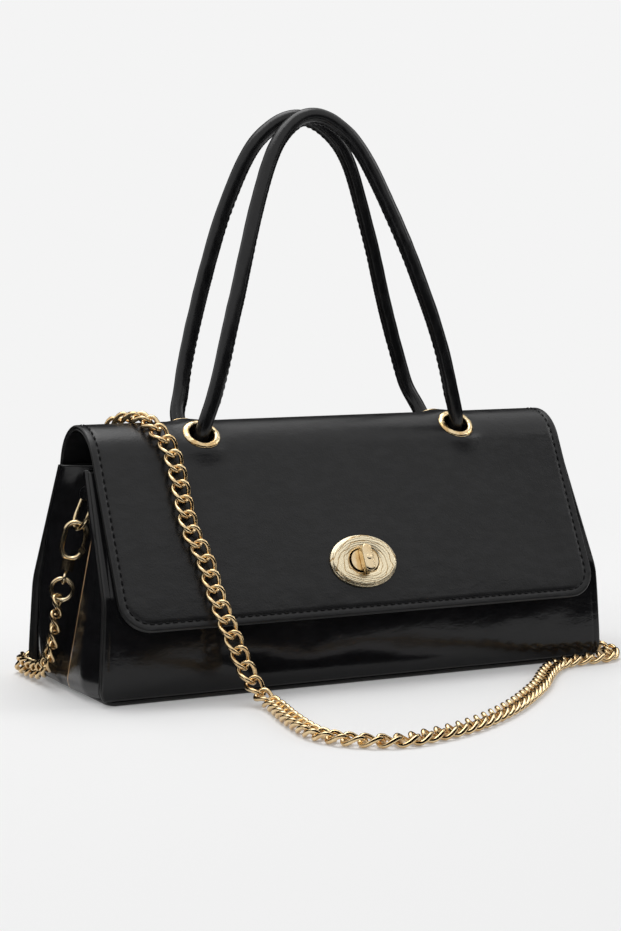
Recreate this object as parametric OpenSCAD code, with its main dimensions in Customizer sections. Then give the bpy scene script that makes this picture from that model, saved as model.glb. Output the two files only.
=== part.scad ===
// Flap shoulder bag with two arched handles, a turn lock and a curb chain strap.
// The front faces -Y, +X is to the right and the base stands on the plane z = 0.

/* [Body] */
// Width of the bag at its base
bag_width = 290; // [250:1:330]
// Depth of the bag at its fullest
bag_depth = 104; // [100:1:114]
// Height of the front and back panels
panel_height = 112; // [110:1:115]
// How much narrower each side is at the top of the panels
side_taper = 7; // [0:0.5:14]
// Height at which the panels leave the slope of the flap
knee_height = 50; // [46:1:64]
// Radius of the lower corners of the panels
corner_radius = 8; // [6:0.5:11]
// Thickness of the front and back panels
panel_thickness = 2.2; // [1.6:0.1:2.4]
// Thickness of the bottom panel
bottom_thickness = 2.2; // [1.6:0.1:3]
// Thickness of the stiff board inside the base
board_thickness = 2; // [1:0.1:3]
// Thickness of the lining
sack_thickness = 0.6; // [0.4:0.1:1]
// Thickness of the facings inside the mouth
facing_thickness = 1; // [0.6:0.1:1.2]
// Height of the facings inside the mouth
facing_height = 20; // [12:1:30]
// Thickness of the strip over the back joint
strip_thickness = 1.2; // [0.8:0.1:1.3]
// Height of the strip over the back joint
strip_height = 12; // [8:1:20]

/* [Side gussets] */
// Thickness of the gusset leather in its seams
gusset_thickness = 1.2; // [0.8:0.1:1.4]
// Thickness of the gusset leather across its folds
fold_thickness = 1.6; // [1.2:0.1:2]
// Width of the seam beside the panels at the base
seam_width = 6; // [4:0.5:8]
// Width of the same seam near the top
seam_width_top = 2.5; // [2:0.5:4]
// Depth of the inward fold at the top
recess_depth = 16; // [12:0.5:20]
// Height at which the outer crest meets the seam
crest_height = 80; // [66:1:95]
// Half the distance between the crests at the base
crest_foot = 6; // [5:0.5:12]
// Half the width of the flat strip in the fold at the base
fold_flat_foot = 3; // [2:0.5:4]
// Half the width of the flat strip in the fold at the top
fold_flat_top = 6.5; // [6.4:0.1:8]

/* [Flap] */
// Width of the flap
flap_width = 272; // [240:1:276]
// Rise of the rounded top over the panels
roof_rise = 21; // [19:0.5:22]
// Radius of the rounded top
ridge_radius = 24; // [23.5:0.5:26]
// Lean of the front of the flap from upright
front_lean = 25.5; // [24:0.5:26]
// Height of the lower edge of the flap
flap_edge_height = 37; // [26:1:44]
// Radius of the lower corners of the flap
flap_corner = 16; // [8:1:30]
// Thickness of the outer leather of the flap
flap_thickness = 1.9; // [1.4:0.1:2.2]
// Thickness of the lining leather of the flap
flap_lining_thickness = 1; // [0.8:0.1:1.2]

/* [Turn lock] */
// Height of the middle of the lock
lock_height = 62; // [60:0.5:66]
// Width of the lock plate
plate_width = 38; // [32:0.5:46]
// Height of the lock plate
plate_tall = 28; // [23:0.5:32]
// Thickness of the lock plate
plate_thickness = 2.4; // [1.8:0.1:3]
// Width of the slot in the plate
slot_width = 17; // [16:0.5:19]
// Height of the slot in the plate
slot_tall = 12.7; // [11.5:0.1:13.5]
// Length of the turning bar
knob_length = 15; // [14:0.5:16]
// Width of the turning bar
knob_width = 6; // [5:0.5:7]
// Thickness of the turning bar
knob_thickness = 4.8; // [3:0.1:5.5]

/* [Handles] */
// Half the distance between the two eyelets of a handle
eyelet_spread = 74.5; // [60:0.5:84]
// Angle from upright at which an eyelet looks forward or back
eyelet_lean = 40; // [36:1:44]
// Outer diameter of an eyelet
eyelet_width = 20; // [18:0.5:22]
// Bore of an eyelet
eyelet_bore = 13; // [11:0.5:14]
// Rise of a handle over its eyelets
handle_rise = 163; // [120:1:200]
// Diameter of a handle
handle_diameter = 8.4; // [7:0.2:9]
// How far the sewn edge stands out of a handle
handle_seam = 1.2; // [0.8:0.1:1.8]
// Diameter of the cord inside a handle
core_diameter = 5.6; // [4:0.2:6]

/* [Rings and hooks] */
// Width of the leather tab that holds the half ring
tab_width = 11; // [8:0.5:11.5]
// Drop of the half ring's bar below the top of the gusset
bar_drop = 15; // [13:1:22]
// Diameter of the wire of the rings
ring_wire = 2.2; // [1.8:0.1:2.4]
// Width of the half ring, wire to wire
half_ring_width = 16; // [15:0.5:18]
// Drop of the half ring below its bar
half_ring_drop = 18.5; // [17:0.5:20]
// Lean of the half ring
half_ring_lean = 24; // [20:0.1:27]
// Lean of the hook that hangs from it
hook_lean = 15.2; // [12:0.1:18]
// Diameter of the bow of the hook
hook_wire = 2.6; // [2.2:0.1:2.8]
// Width of the hook, wire to wire
hook_width = 10.4; // [10:0.1:12]
// Straight length of the hook's sides
hook_straight = 8; // [7:0.5:10]
// Diameter of the hook's collar
collar_diameter = 6.4; // [6:0.1:7.4]
// Length of the hook's collar
collar_length = 5; // [4.6:0.1:7]
// Diameter of the ring at the chain's end, wire to wire
end_ring_width = 10.8; // [9.8:0.1:14]

/* [Chain] */
// Distance from link to link
link_pitch = 8; // [7.6:0.1:8.4]
// Width of a link
link_width = 10; // [9.6:0.1:10.6]
// Diameter of a link's wire
link_wire = 2; // [1.7:0.1:2.1]
// How far a link twists out of its own plane
link_twist = 1.9; // [1.7:0.1:2.1]
// Play between one link and the next
link_play = 0.9; // [0.8:0.05:1.1]

/* [Hidden] */
$fn = 48;

// Clearances and overruns
gap = 0.3;
small_gap = 0.15;
flap_gap = 0.5;
over = 5;
wide = 2 * bag_width;
leather = "#3b3a3c";
inner_leather = "#2a2829";
gold = "#d8bf9a";

// Small shared geometry
function unit(v) = v / norm(v);
function arc(c, r, a, b, n) = [for (i = [0:n]) let(t = a + (b - a) * i / n) c + r * [cos(t), sin(t)]];
function sorted(v) = len(v) < 2 ? v : let(p = v[0], rest = [for (i = [1:1:len(v) - 1]) v[i]])
    concat(sorted([for (x = rest) if (x < p) x]), [p], sorted([for (x = rest) if (x >= p) x]));
function mirrored(v) = [for (i = [len(v) - 1:-1:0]) [-v[i][0], v[i][1]]];

// Skin over a row of rings, capped at both ends, or closed on itself. A folded sheet has its far half
// split the other way, so that both of its halves bend alike
module skin(rings, closed = false, folded = false) {
    n = len(rings[0]);
    m = len(rings);
    polyhedron(
        points = [for (r = rings) each r],
        faces = concat(
            closed ? [] : [for (j = [0:n / 2 - 2], e = [0, 1])
                let(
                    k = e * (m - 1) * n,
                    a = k + j,
                    b = k + j + 1,
                    c = k + n - 2 - j,
                    d = k + n - 1 - j
                )
                each (e == 0 ? [[a, b, c], [a, c, d]] : [[a, c, b], [a, d, c]])],
            [for (i = [0:closed ? m - 1 : m - 2], j = [0:n - 1])
                let(
                    a = i * n + j,
                    b = i * n + (j + 1) % n,
                    k = ((i + 1) % m) * n,
                    c = k + j,
                    d = k + (j + 1) % n
                )
                each (folded && j % (n / 2) >= n / 4 ? [[a, c, b], [c, d, b]] : [[a, c, d], [a, d, b]])]
        )
    );
}

// Rings of a tube along points, seen from one side so that they do not turn
function tube_rings(points, section, side) = [for (i = [0:len(points) - 1])
    let(
        t = unit(points[min(i + 1, len(points) - 1)] - points[max(i - 1, 0)]),
        s = side[i],
        u = unit(s - (s * t) * t),
        v = cross(t, u)
    )
    [for (q = section) points[i] + q[0] * u + q[1] * v]];
function round_section(r, n) = [for (k = [0:n - 1]) r * [cos(360 * k / n), sin(360 * k / n)]];

// Flap and panel lines
flap_total = flap_thickness + flap_lining_thickness;
ridge_z = panel_height + roof_rise - ridge_radius;
hinge_rise = 1;
hinge_angle = asin((panel_height + hinge_rise - ridge_z) / ridge_radius);
flap_turn = 180 - front_lean;
roof_steps = 14;
function face_y(z) = ridge_radius * cos(front_lean)
    + tan(front_lean) * (ridge_z + ridge_radius * sin(front_lean) - z);
function seat_y(z) = face_y(z) - (flap_total + flap_gap) / cos(front_lean);
belly_shares = [[0, 0.956], [0.04, 0.985], [0.1, 1], [0.18, 1], [0.34, 0.992]];
panel_line = concat(
    [for (s = belly_shares) [s[1] * bag_depth / 2, s[0] * panel_height]],
    [[seat_y(knee_height), knee_height], [seat_y(panel_height), panel_height]]
);
panel_table = [for (p = panel_line) [p[1], p[0]]];
function panel_y(z) = lookup(z, panel_table);
function shifted(d) = [for (p = panel_line) [p[0] - d, p[1]]];
function half_width(z) = bag_width / 2 - side_taper * z / panel_height;
function edge_x(z) = z >= corner_radius ? half_width(z)
    : half_width(corner_radius) - corner_radius
        + sqrt(pow(corner_radius, 2) - pow(corner_radius - z, 2));

// Shapes drawn from the side run along X, shapes drawn from the front run along Y
module along_x(w) { rotate([90, 0, 90]) linear_extrude(w, center = true) children(); }
module along_y(d) { rotate([90, 0, 0]) linear_extrude(d, center = true) children(); }

// Outline of a panel from the front, and a slab between two depths of its wall
module panel_outline() {
    c = [half_width(corner_radius) - corner_radius, corner_radius];
    top = [half_width(panel_height), panel_height];
    foot = arc(c, corner_radius, -90, 0, 8);
    polygon(concat(foot, [top], mirrored(concat(foot, [top]))));
}
module wall(from, to) {
    outer = shifted(from);
    inner = shifted(to);
    along_x(wide) polygon(concat(outer, [for (i = [len(inner) - 1:-1:0]) inner[i]]));
}
module band(half_x, z0, z1) {
    along_y(wide) polygon([[-half_x, z0], [half_x, z0], [half_x, z1], [-half_x, z1]]);
}

// Local frame on the outer face of the flap: Z outwards, Y up the slope
module on_face(z) {
    translate([0, -face_y(z), z]) rotate([90 - front_lean, 0, 0]) children();
}
module oval(w, h) {
    polygon([for (i = [0:$fn - 1]) [w / 2 * cos(i * 360 / $fn), h / 2 * sin(i * 360 / $fn)]]);
}
module rounded_slot(w, h, r) {
    square([w, h - 2 * r], center = true);
    square([w - 2 * r, h], center = true);
    for (x = [-1, 1], y = [-1, 1]) translate([x * (w / 2 - r), y * (h / 2 - r)]) circle(r);
}

// Lock sizes
panel_depth = flap_total + flap_gap;
panel_through = panel_thickness * cos(front_lean);
pin_radius = 1.5;
pin_spread = 3.6;
base_play = 0.9;
base_top = plate_thickness + small_gap;
spindle_radius = 2;
spindle_depth = 4;
washer_width = 22;
washer_tall = 12;
washer_thickness = 1;
back_plate_margin = 5.5;
rivet_radius = 1.6;
rivet_height = 0.4;
slot_corner = slot_tall / 2 - gap;
plate_step = 1;
groove_inset = 5;
groove_width = 0.7;
groove_depth = 0.3;

module front_panel() color(leather) difference() {
    intersection() {
        mirror([0, 1, 0]) wall(0, panel_thickness);
        along_y(wide) panel_outline();
    }
    on_face(lock_height) for (x = [-1, 1]) translate([x * pin_spread, 0, -panel_depth - over])
        cylinder(r = pin_radius + small_gap, h = 2 * over);
}

module back_panel() color(leather) intersection() {
    wall(0, panel_thickness);
    along_y(wide) panel_outline();
}

module bottom_panel() color(leather) intersection() {
    foot = panel_y(0) - panel_thickness;
    rim = panel_y(bottom_thickness) - panel_thickness;
    along_x(wide) polygon([[-foot, 0], [foot, 0], [rim, bottom_thickness], [-rim, bottom_thickness]]);
    along_y(wide) panel_outline();
}

// Gusset: one folded sheet, drawn as level cuts from the bottom panel to the mouth
function seam_at(z) = lookup(z, [[0, seam_width], [crest_height, seam_width_top]]);
function crest_top(z) = panel_y(z) - panel_thickness - gusset_thickness - seam_width_top;
function crest_at(z) = z < crest_height
    ? crest_foot + (crest_top(crest_height) - crest_foot) * z / crest_height
    : crest_top(z);
function flat_at(z) = fold_flat_foot + (fold_flat_top - fold_flat_foot) * z / panel_height;
function fold_at(z) = crest_inset + recess_depth * z / panel_height;
crest_inset = 0.5;
gusset_levels = sorted(concat(
    [bottom_thickness, corner_radius / 2, corner_radius, crest_height],
    [for (p = panel_line) if (p[1] > bottom_thickness) p[1]]
));
function gusset_cut(z) =
    let(
        y0 = panel_y(z) - panel_thickness,
        y1 = y0 - gusset_thickness,
        s = seam_at(z),
        t = fold_thickness,
        c = crest_at(z),
        f = fold_at(z),
        w = flat_at(z),
        grain = [[0, -y1], [s, -y1], [crest_inset, -c], [f, -w]],
        flesh = [[0, -y0], [s + t, -y0], [crest_inset + t, -c], [f + t, -w]],
        half = concat(grain, [for (i = [3:-1:0]) [grain[i][0], -grain[i][1]]]),
        back = concat(flesh, [for (i = [3:-1:0]) [flesh[i][0], -flesh[i][1]]])
    )
    [for (p = concat(half, [for (i = [7:-1:0]) back[i]])) [p[0] - edge_x(z), p[1], z]];
module gusset() skin([for (z = gusset_levels) gusset_cut(z)], folded = true);
module gusset_left() color(leather) gusset();
module gusset_right() color(leather) mirror([1, 0, 0]) gusset();

// Inside of the bag
board_x = edge_x(bottom_thickness) - seam_width - fold_thickness - gap;
board_y = panel_y(bottom_thickness) - panel_thickness - gusset_thickness - gap;
board_top = bottom_thickness + board_thickness;
module base_board() color("#8b7a63") translate([-board_x, -board_y, bottom_thickness])
    cube([2 * board_x, 2 * board_y, board_thickness]);

sack_inset = panel_thickness + gusset_thickness + gap;
sack_drop = 2;
module sack(d, floor_z, top_z) intersection() {
    along_x(wide) polygon(concat(shifted(sack_inset + d), mirrored(shifted(sack_inset + d))));
    along_y(wide) polygon([
        [-board_x + d, floor_z], [board_x - d, floor_z],
        [half_width(panel_height) - fold_at(panel_height) - fold_thickness - gap - d, top_z],
        [-half_width(panel_height) + fold_at(panel_height) + fold_thickness + gap + d, top_z]
    ]);
}
module lining() color(inner_leather) difference() {
    sack(0, board_top, panel_height - sack_drop);
    sack(sack_thickness, board_top + sack_thickness, panel_height);
}

facing_x = half_width(panel_height) - seam_width_top - fold_thickness - flap_gap;
module facing() intersection() {
    wall(panel_thickness, panel_thickness + facing_thickness);
    band(facing_x, panel_height - facing_height, panel_height);
}
module front_facing() color(inner_leather) mirror([0, 1, 0]) facing();
module back_facing() color(inner_leather) facing();

module back_hinge_strip() color(leather) intersection() {
    wall(-strip_thickness, 0);
    band(flap_width / 2, panel_height - strip_height, panel_height);
}

// Flap: an arc over the top that runs on as a flat front
slope_length = (ridge_z + ridge_radius * sin(front_lean) - flap_edge_height) / cos(front_lean);
function flap_line(d) = concat(
    arc([0, ridge_z], ridge_radius - d, hinge_angle, flap_turn, roof_steps),
    [[-(ridge_radius - d) * cos(front_lean) - slope_length * sin(front_lean),
        ridge_z + (ridge_radius - d) * sin(front_lean) - slope_length * cos(front_lean)]]
);
module eyelet_place(x, side) {
    translate([x, 0, ridge_z]) rotate([-side * eyelet_lean, 0, 0])
        translate([0, 0, ridge_radius]) children();
}
module each_eyelet() for (x = [-1, 1], side = [-1, 1])
    eyelet_place(x * eyelet_spread, side) children();
barrel_wall = 0.6;
barrel_radius = eyelet_bore / 2 + barrel_wall;
module flap_layer(from, to, slot_w, slot_h) difference() {
    outer = flap_line(from);
    inner = flap_line(to);
    along_x(flap_width) polygon(concat(outer, [for (i = [len(inner) - 1:-1:0]) inner[i]]));
    for (s = [0, 1]) mirror([s, 0, 0]) on_face(flap_edge_height)
        translate([flap_width / 2 - flap_corner, flap_corner, -over]) linear_extrude(2 * over)
            difference() {
                translate([0, -2 * flap_corner]) square(2 * flap_corner);
                circle(flap_corner);
                translate([-flap_corner, 0]) square([2 * flap_corner, flap_corner]);
            }
    on_face(lock_height) translate([0, 0, -over]) linear_extrude(2 * over)
        rounded_slot(slot_w, slot_h, slot_corner);
    each_eyelet() translate([0, 0, -2 * over]) cylinder(r = barrel_radius + small_gap, h = 4 * over);
}
module flap_outer() color(leather) flap_layer(0, flap_thickness, slot_width, slot_tall);
back_plate_width = slot_width + 2 * back_plate_margin;
back_plate_tall = slot_tall + back_plate_margin;
module flap_lining() color(inner_leather)
    flap_layer(flap_thickness, flap_total, back_plate_width, back_plate_tall);

module lock_plate() color(gold) on_face(lock_height) difference() {
    union() {
        linear_extrude(plate_thickness - plate_step) oval(plate_width, plate_tall);
        linear_extrude(plate_thickness) oval(plate_width - 2 * plate_step, plate_tall - 2 * plate_step);
    }
    translate([0, 0, -over]) linear_extrude(2 * over)
        rounded_slot(slot_width, slot_tall, slot_corner);
    translate([0, 0, plate_thickness - groove_depth]) linear_extrude(over) difference() {
        oval(plate_width - groove_inset, plate_tall - groove_inset);
        oval(plate_width - groove_inset - 2 * groove_width, plate_tall - groove_inset - 2 * groove_width);
    }
}
module lock_back_plate() color(gold) on_face(lock_height) translate([0, 0, -flap_total])
    linear_extrude(flap_lining_thickness) difference() {
        rounded_slot(back_plate_width - gap, back_plate_tall - gap, slot_corner);
        rounded_slot(slot_width, slot_tall, slot_corner);
    }
module lock_base() color(gold) on_face(lock_height) difference() {
    union() {
        translate([0, 0, -panel_depth]) linear_extrude(panel_depth + base_top)
            rounded_slot(slot_width - 2 * base_play, slot_tall - 2 * base_play, slot_corner - base_play);
        for (x = [-1, 1]) translate([x * pin_spread, 0, -panel_depth - panel_through - washer_thickness])
            cylinder(r = pin_radius, h = panel_through + washer_thickness + base_play);
    }
    translate([0, 0, base_top - spindle_depth - gap]) cylinder(r = spindle_radius + small_gap, h = 2 * over);
}
module lock_base_washer() color(gold) on_face(lock_height)
    translate([0, 0, -panel_depth - panel_through - washer_thickness])
        linear_extrude(washer_thickness) difference() {
            oval(washer_width, washer_tall);
            for (x = [-1, 1]) translate([x * pin_spread, 0]) circle(pin_radius + small_gap);
        }
module lock_knob() color(gold) on_face(lock_height) translate([0, 0, base_top + gap]) {
    linear_extrude(knob_thickness) union() {
        square([knob_width, knob_length - knob_width], center = true);
        for (y = [-1, 1]) translate([0, y * (knob_length - knob_width) / 2]) circle(knob_width / 2);
    }
    translate([0, 0, -spindle_depth - gap + small_gap])
        cylinder(r = spindle_radius, h = spindle_depth + gap);
}
module lock_knob_rivet() color(gold) on_face(lock_height)
    translate([0, 0, base_top + gap + knob_thickness]) cylinder(r = rivet_radius, h = rivet_height);

// Eyelets, washers and the stops that keep the handle ends inside
eyelet_lift = 0.9;
washer_lift = 0.8;
washer_inset = 1.2;
washer_radius = eyelet_width / 2 - washer_inset;
inner_radius = ridge_radius - flap_total;
washer_sink = inner_radius - sqrt(pow(inner_radius, 2) - pow(washer_radius, 2));
washer_drop = flap_total + washer_sink + washer_lift;
module roof_bar(r) {
    translate([0, 0, -ridge_radius]) rotate([0, 90, 0])
        cylinder(r = r, h = wide, center = true, $fn = 160);
}
module eyelets() color(gold) each_eyelet() difference() {
    union() {
        difference() {
            translate([0, 0, -over]) cylinder(d = eyelet_width, h = over + eyelet_lift);
            roof_bar(ridge_radius);
        }
        translate([0, 0, -washer_drop]) cylinder(r = barrel_radius, h = washer_drop + eyelet_lift);
    }
    translate([0, 0, -2 * over]) cylinder(d = eyelet_bore, h = 4 * over);
}
module eyelet_washers() color(gold) each_eyelet() difference() {
    intersection() {
        translate([0, 0, -washer_drop]) cylinder(r = washer_radius, h = washer_drop);
        roof_bar(inner_radius - small_gap);
    }
    translate([0, 0, -2 * over]) cylinder(r = barrel_radius + small_gap, h = 4 * over);
}
stop_radius = 8.5;
stop_thickness = 3;
stop_top = washer_drop + gap;
module handle_stops() color(inner_leather) each_eyelet() translate([0, 0, -stop_top - stop_thickness])
    cylinder(r = stop_radius, h = stop_thickness);

// Handles: shares of the rise, of the half span and of the rise again for the lean
front_arch_shares = [
    [0.108, 0.926, -0.036], [0.2, 0.878, -0.032], [0.323, 0.804, -0.015], [0.446, 0.717, 0.004],
    [0.569, 0.628, 0.027], [0.692, 0.53, 0.056], [0.815, 0.419, 0.084], [0.877, 0.352, 0.098],
    [0.923, 0.285, 0.11], [0.963, 0.195, 0.121], [0.99, 0.1, 0.129], [1, 0, 0.132]
];
back_arch_shares = [
    [0.108, 0.903, 0.075], [0.2, 0.858, 0.089], [0.323, 0.789, 0.095], [0.446, 0.718, 0.094],
    [0.569, 0.644, 0.088], [0.692, 0.557, 0.083], [0.815, 0.454, 0.067], [0.877, 0.388, 0.06],
    [0.923, 0.315, 0.057], [0.963, 0.215, 0.055], [0.99, 0.11, 0.053], [1, 0, 0.053]
];
function eyelet_axis(side) = [0, side * sin(eyelet_lean), cos(eyelet_lean)];
function eyelet_point(side) = [0, 0, ridge_z] + ridge_radius * eyelet_axis(side);
function arch_half(side) = [for (s = side < 0 ? front_arch_shares : back_arch_shares)
    eyelet_point(side) + [s[1] * eyelet_spread, s[2] * handle_rise, s[0] * handle_rise]];
function arch_points(side) = let(h = arch_half(side), n = len(h))
    concat(h, [for (i = [n - 2:-1:0]) [-h[i][0], h[i][1], h[i][2]]]);
function arch_inward(side) =
    let(p = arch_points(side), low = p[0][2], high = p[(len(p) - 1) / 2][2])
    [for (q = p) [0, q[1], low + (high - low) / 4] - q];
function sewn_section(r, n, fin) = let(c = round_section(r, n))
    [for (k = [0:n - 1]) k == 0 ? c[k] + [fin, 0] : c[k]];
cover_sides = 8;
core_sides = 6;
module handle_cover(side) {
    points = arch_points(side);
    inward = arch_inward(side);
    outer = tube_rings(points, sewn_section(handle_diameter / 2, cover_sides, handle_seam), inward);
    inner = tube_rings(points, round_section(core_diameter / 2 + gap, cover_sides), inward);
    skin(concat(outer, [for (i = [len(inner) - 1:-1:0]) inner[i]]), closed = true);
}
module handle_core(side)
    skin(tube_rings(arch_points(side), round_section(core_diameter / 2, core_sides), arch_inward(side)));
module handle_front_cover() color(leather) handle_cover(-1);
module handle_front_core() color("#cfc6b4") handle_core(-1);
module handle_back_cover() color(leather) handle_cover(1);
module handle_back_core() color("#cfc6b4") handle_core(1);

// Neck: the soft end of a handle, from its stop through the eyelet to the cover
module neck(side) {
    e = eyelet_point(side) + [eyelet_spread, 0, 0];
    a = eyelet_axis(side);
    top = arch_half(side)[0];
    next = arch_half(side)[1];
    lead = top - unit(next - top) * handle_diameter;
    d = handle_diameter;
    points = [e - stop_top * a, e, e + d / 2 * a, (e + d * a + lead) / 2, lead, top];
    skin(tube_rings(points, round_section(d / 2, cover_sides), [for (p = points) [-1, 0, 0]]));
}
module handle_necks_front() color(leather) for (s = [0, 1]) mirror([s, 0, 0]) neck(-1);
module handle_necks_back() color(leather) for (s = [0, 1]) mirror([s, 0, 0]) neck(1);

// Left hardware: a tab on the gusset, a half ring, a snap hook, a swivel eye and a round ring
wall_tilt = atan((side_taper + recess_depth) / panel_height);
tab_leaf = 1.6;
tab_wrap = 1.3;
loop_radius = ring_wire / 2 + small_gap + small_gap;
bar_offset = tab_leaf + tab_wrap + loop_radius;
tab_rise = 11;
tab_shoulder = 8.8;
bar_height = panel_height - bar_drop;
wall_x = fold_at(bar_height) - edge_x(bar_height);
bar_place = [wall_x, 0, bar_height] + bar_offset * [-cos(wall_tilt), 0, sin(wall_tilt)];
half_ring_foot = bar_place - half_ring_drop * [sin(half_ring_lean), 0, cos(half_ring_lean)];
hook_turn = -27;
hook_radius = hook_width / 2;
bow_low = hook_radius + hook_wire / 2;
bow_high = bow_low + hook_straight;
ring_play = 0.9;
hook_seat = bow_high + hook_radius - hook_wire / 2 - ring_wire / 2 - ring_play;
hook_up = [sin(hook_lean), 0, cos(hook_lean)];
module hook_frame() {
    translate(half_ring_foot) rotate([0, hook_lean, 0]) rotate([0, 0, hook_turn])
        translate([0, 0, -hook_seat]) children();
}
module rod(a, b, r) {
    d = b - a;
    translate(a) rotate([0, acos(d[2] / norm(d)), atan2(d[1], d[0])]) cylinder(r = r, h = norm(d));
}

module tab_side() difference() {
    wrap = tab_wrap + loop_radius;
    union() {
        translate([0, -bar_offset / 2]) square([tab_leaf, tab_rise + bar_offset / 2]);
        translate([bar_offset, 0]) circle(wrap);
        polygon([[0, 0], [bar_offset, 0], [bar_offset, wrap], [tab_leaf, tab_shoulder], [0, tab_shoulder]]);
    }
    translate([bar_offset, 0]) circle(loop_radius);
}
module ring_tab() translate([wall_x, 0, bar_height]) rotate([0, wall_tilt, 0]) mirror([1, 0, 0])
    rotate([90, 0, 0]) linear_extrude(tab_width, center = true) tab_side();
module ring_tab_left() color(leather) ring_tab();
module ring_tab_right() color(leather) mirror([1, 0, 0]) ring_tab();

module d_ring() translate(bar_place) rotate([0, half_ring_lean, 0]) {
    r = ring_wire / 2;
    h = half_ring_width / 2;
    leg = half_ring_drop - h;
    rod([0, -h, 0], [0, h, 0], r);
    for (y = [-h, h]) {
        translate([0, y, 0]) sphere(r);
        rod([0, y, -leg], [0, y, 0], r);
    }
    translate([0, 0, -leg]) rotate([0, 90, 0]) rotate([0, 0, -90])
        rotate_extrude(angle = 180) translate([h, 0]) circle(r, $fn = 24);
}
module d_ring_left() color(gold) d_ring();
module d_ring_right() color(gold) mirror([1, 0, 0]) d_ring();

// Snap hook: a bow with one side left open for the gate, over a hollow collar
gate_radius = 1;
pin_wire = 0.45;
pin_play = 0.05;
ear_radius = 1.7;
fork_slot = 1.4;
gate_eye = 1.1;
gate_foot = 2;
collar_rise = 0.9;
nose_drop = 1;
nose_gap = 0.3;
head_radius = 1.6;
head_height = 2;
stem_radius = 0.8;
collar_lip = 0.8;
module at_gate() { translate([hook_radius, 0, bow_low]) rotate([90, 0, 0]) children(); }
module hook_body() hook_frame() difference() {
    union() {
        translate([0, 0, bow_high]) rotate([90, 0, 0]) rotate_extrude(angle = 180)
            translate([hook_radius, 0]) circle(hook_wire / 2, $fn = 24);
        translate([0, 0, bow_low]) rotate([90, 0, 0]) rotate([0, 0, 180]) rotate_extrude(angle = 180)
            translate([hook_radius, 0]) circle(hook_wire / 2, $fn = 24);
        rod([-hook_radius, 0, bow_low], [-hook_radius, 0, bow_high], hook_wire / 2);
        rod([hook_radius, 0, bow_high - nose_drop], [hook_radius, 0, bow_high], hook_wire / 2);
        at_gate() cylinder(r = ear_radius, h = hook_wire, center = true);
        translate([0, 0, -collar_length]) cylinder(d = collar_diameter, h = collar_length + collar_rise);
    }
    translate([hook_radius - 2 * ear_radius, -fork_slot / 2, bow_low - ear_radius - small_gap])
        cube([4 * ear_radius, fork_slot, 3 * ear_radius]);
    at_gate() cylinder(r = pin_wire + pin_play, h = over, center = true);
    translate([0, 0, -collar_lip - head_height - 2 * small_gap - collar_lip])
        cylinder(r = head_radius + gap, h = head_height + 2 * small_gap);
    translate([0, 0, -collar_length - over])
        cylinder(r = stem_radius + gap, h = over + collar_length - collar_lip);
}
module gate_pin() hook_frame() at_gate() cylinder(r = pin_wire, h = hook_wire, center = true);
module gate() hook_frame() difference() {
    union() {
        at_gate() cylinder(r = ear_radius - gap, h = gate_eye, center = true);
        translate([hook_radius - gate_eye / 2, -gate_eye / 2, bow_low])
            cube([gate_eye, gate_eye, 2 * ear_radius]);
        translate([hook_radius, 0, bow_low + gate_foot])
            cylinder(r = gate_radius, h = hook_straight - gate_foot - nose_drop - nose_gap);
    }
    at_gate() cylinder(r = pin_wire + small_gap, h = over, center = true);
}
eye_wire = 0.9;
eye_radius = 2.6;
eye_top = -collar_length - gap - eye_wire;
eye_z = eye_top - eye_radius;
head_foot = -2 * collar_lip - small_gap - head_height;
ring_z = eye_z - eye_radius + eye_wire + ring_wire / 2 + gap - small_gap - end_ring_width / 2;
module swivel_eye() hook_frame() {
    translate([0, 0, eye_z]) rotate([0, 90, 0]) rotate_extrude()
        translate([eye_radius, 0]) circle(eye_wire, $fn = 24);
    translate([0, 0, eye_top]) cylinder(r = stem_radius, h = head_foot + head_height / 2 - eye_top);
    translate([0, 0, head_foot]) cylinder(r = head_radius, h = head_height);
}
module end_ring() hook_frame() translate([0, 0, ring_z]) rotate([90, 0, 0])
    rotate_extrude() translate([end_ring_width / 2, 0]) circle(ring_wire / 2, $fn = 24);
module hook_body_left() color(gold) hook_body();
module hook_body_right() color(gold) mirror([1, 0, 0]) hook_body();
module gate_pin_left() color(gold) gate_pin();
module gate_pin_right() color(gold) mirror([1, 0, 0]) gate_pin();
module gate_left() color(gold) gate();
module gate_right() color(gold) mirror([1, 0, 0]) gate();
module swivel_eye_left() color(gold) swivel_eye();
module swivel_eye_right() color(gold) mirror([1, 0, 0]) swivel_eye();
module end_ring_left() color(gold) end_ring();
module end_ring_right() color(gold) mirror([1, 0, 0]) end_ring();

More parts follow.
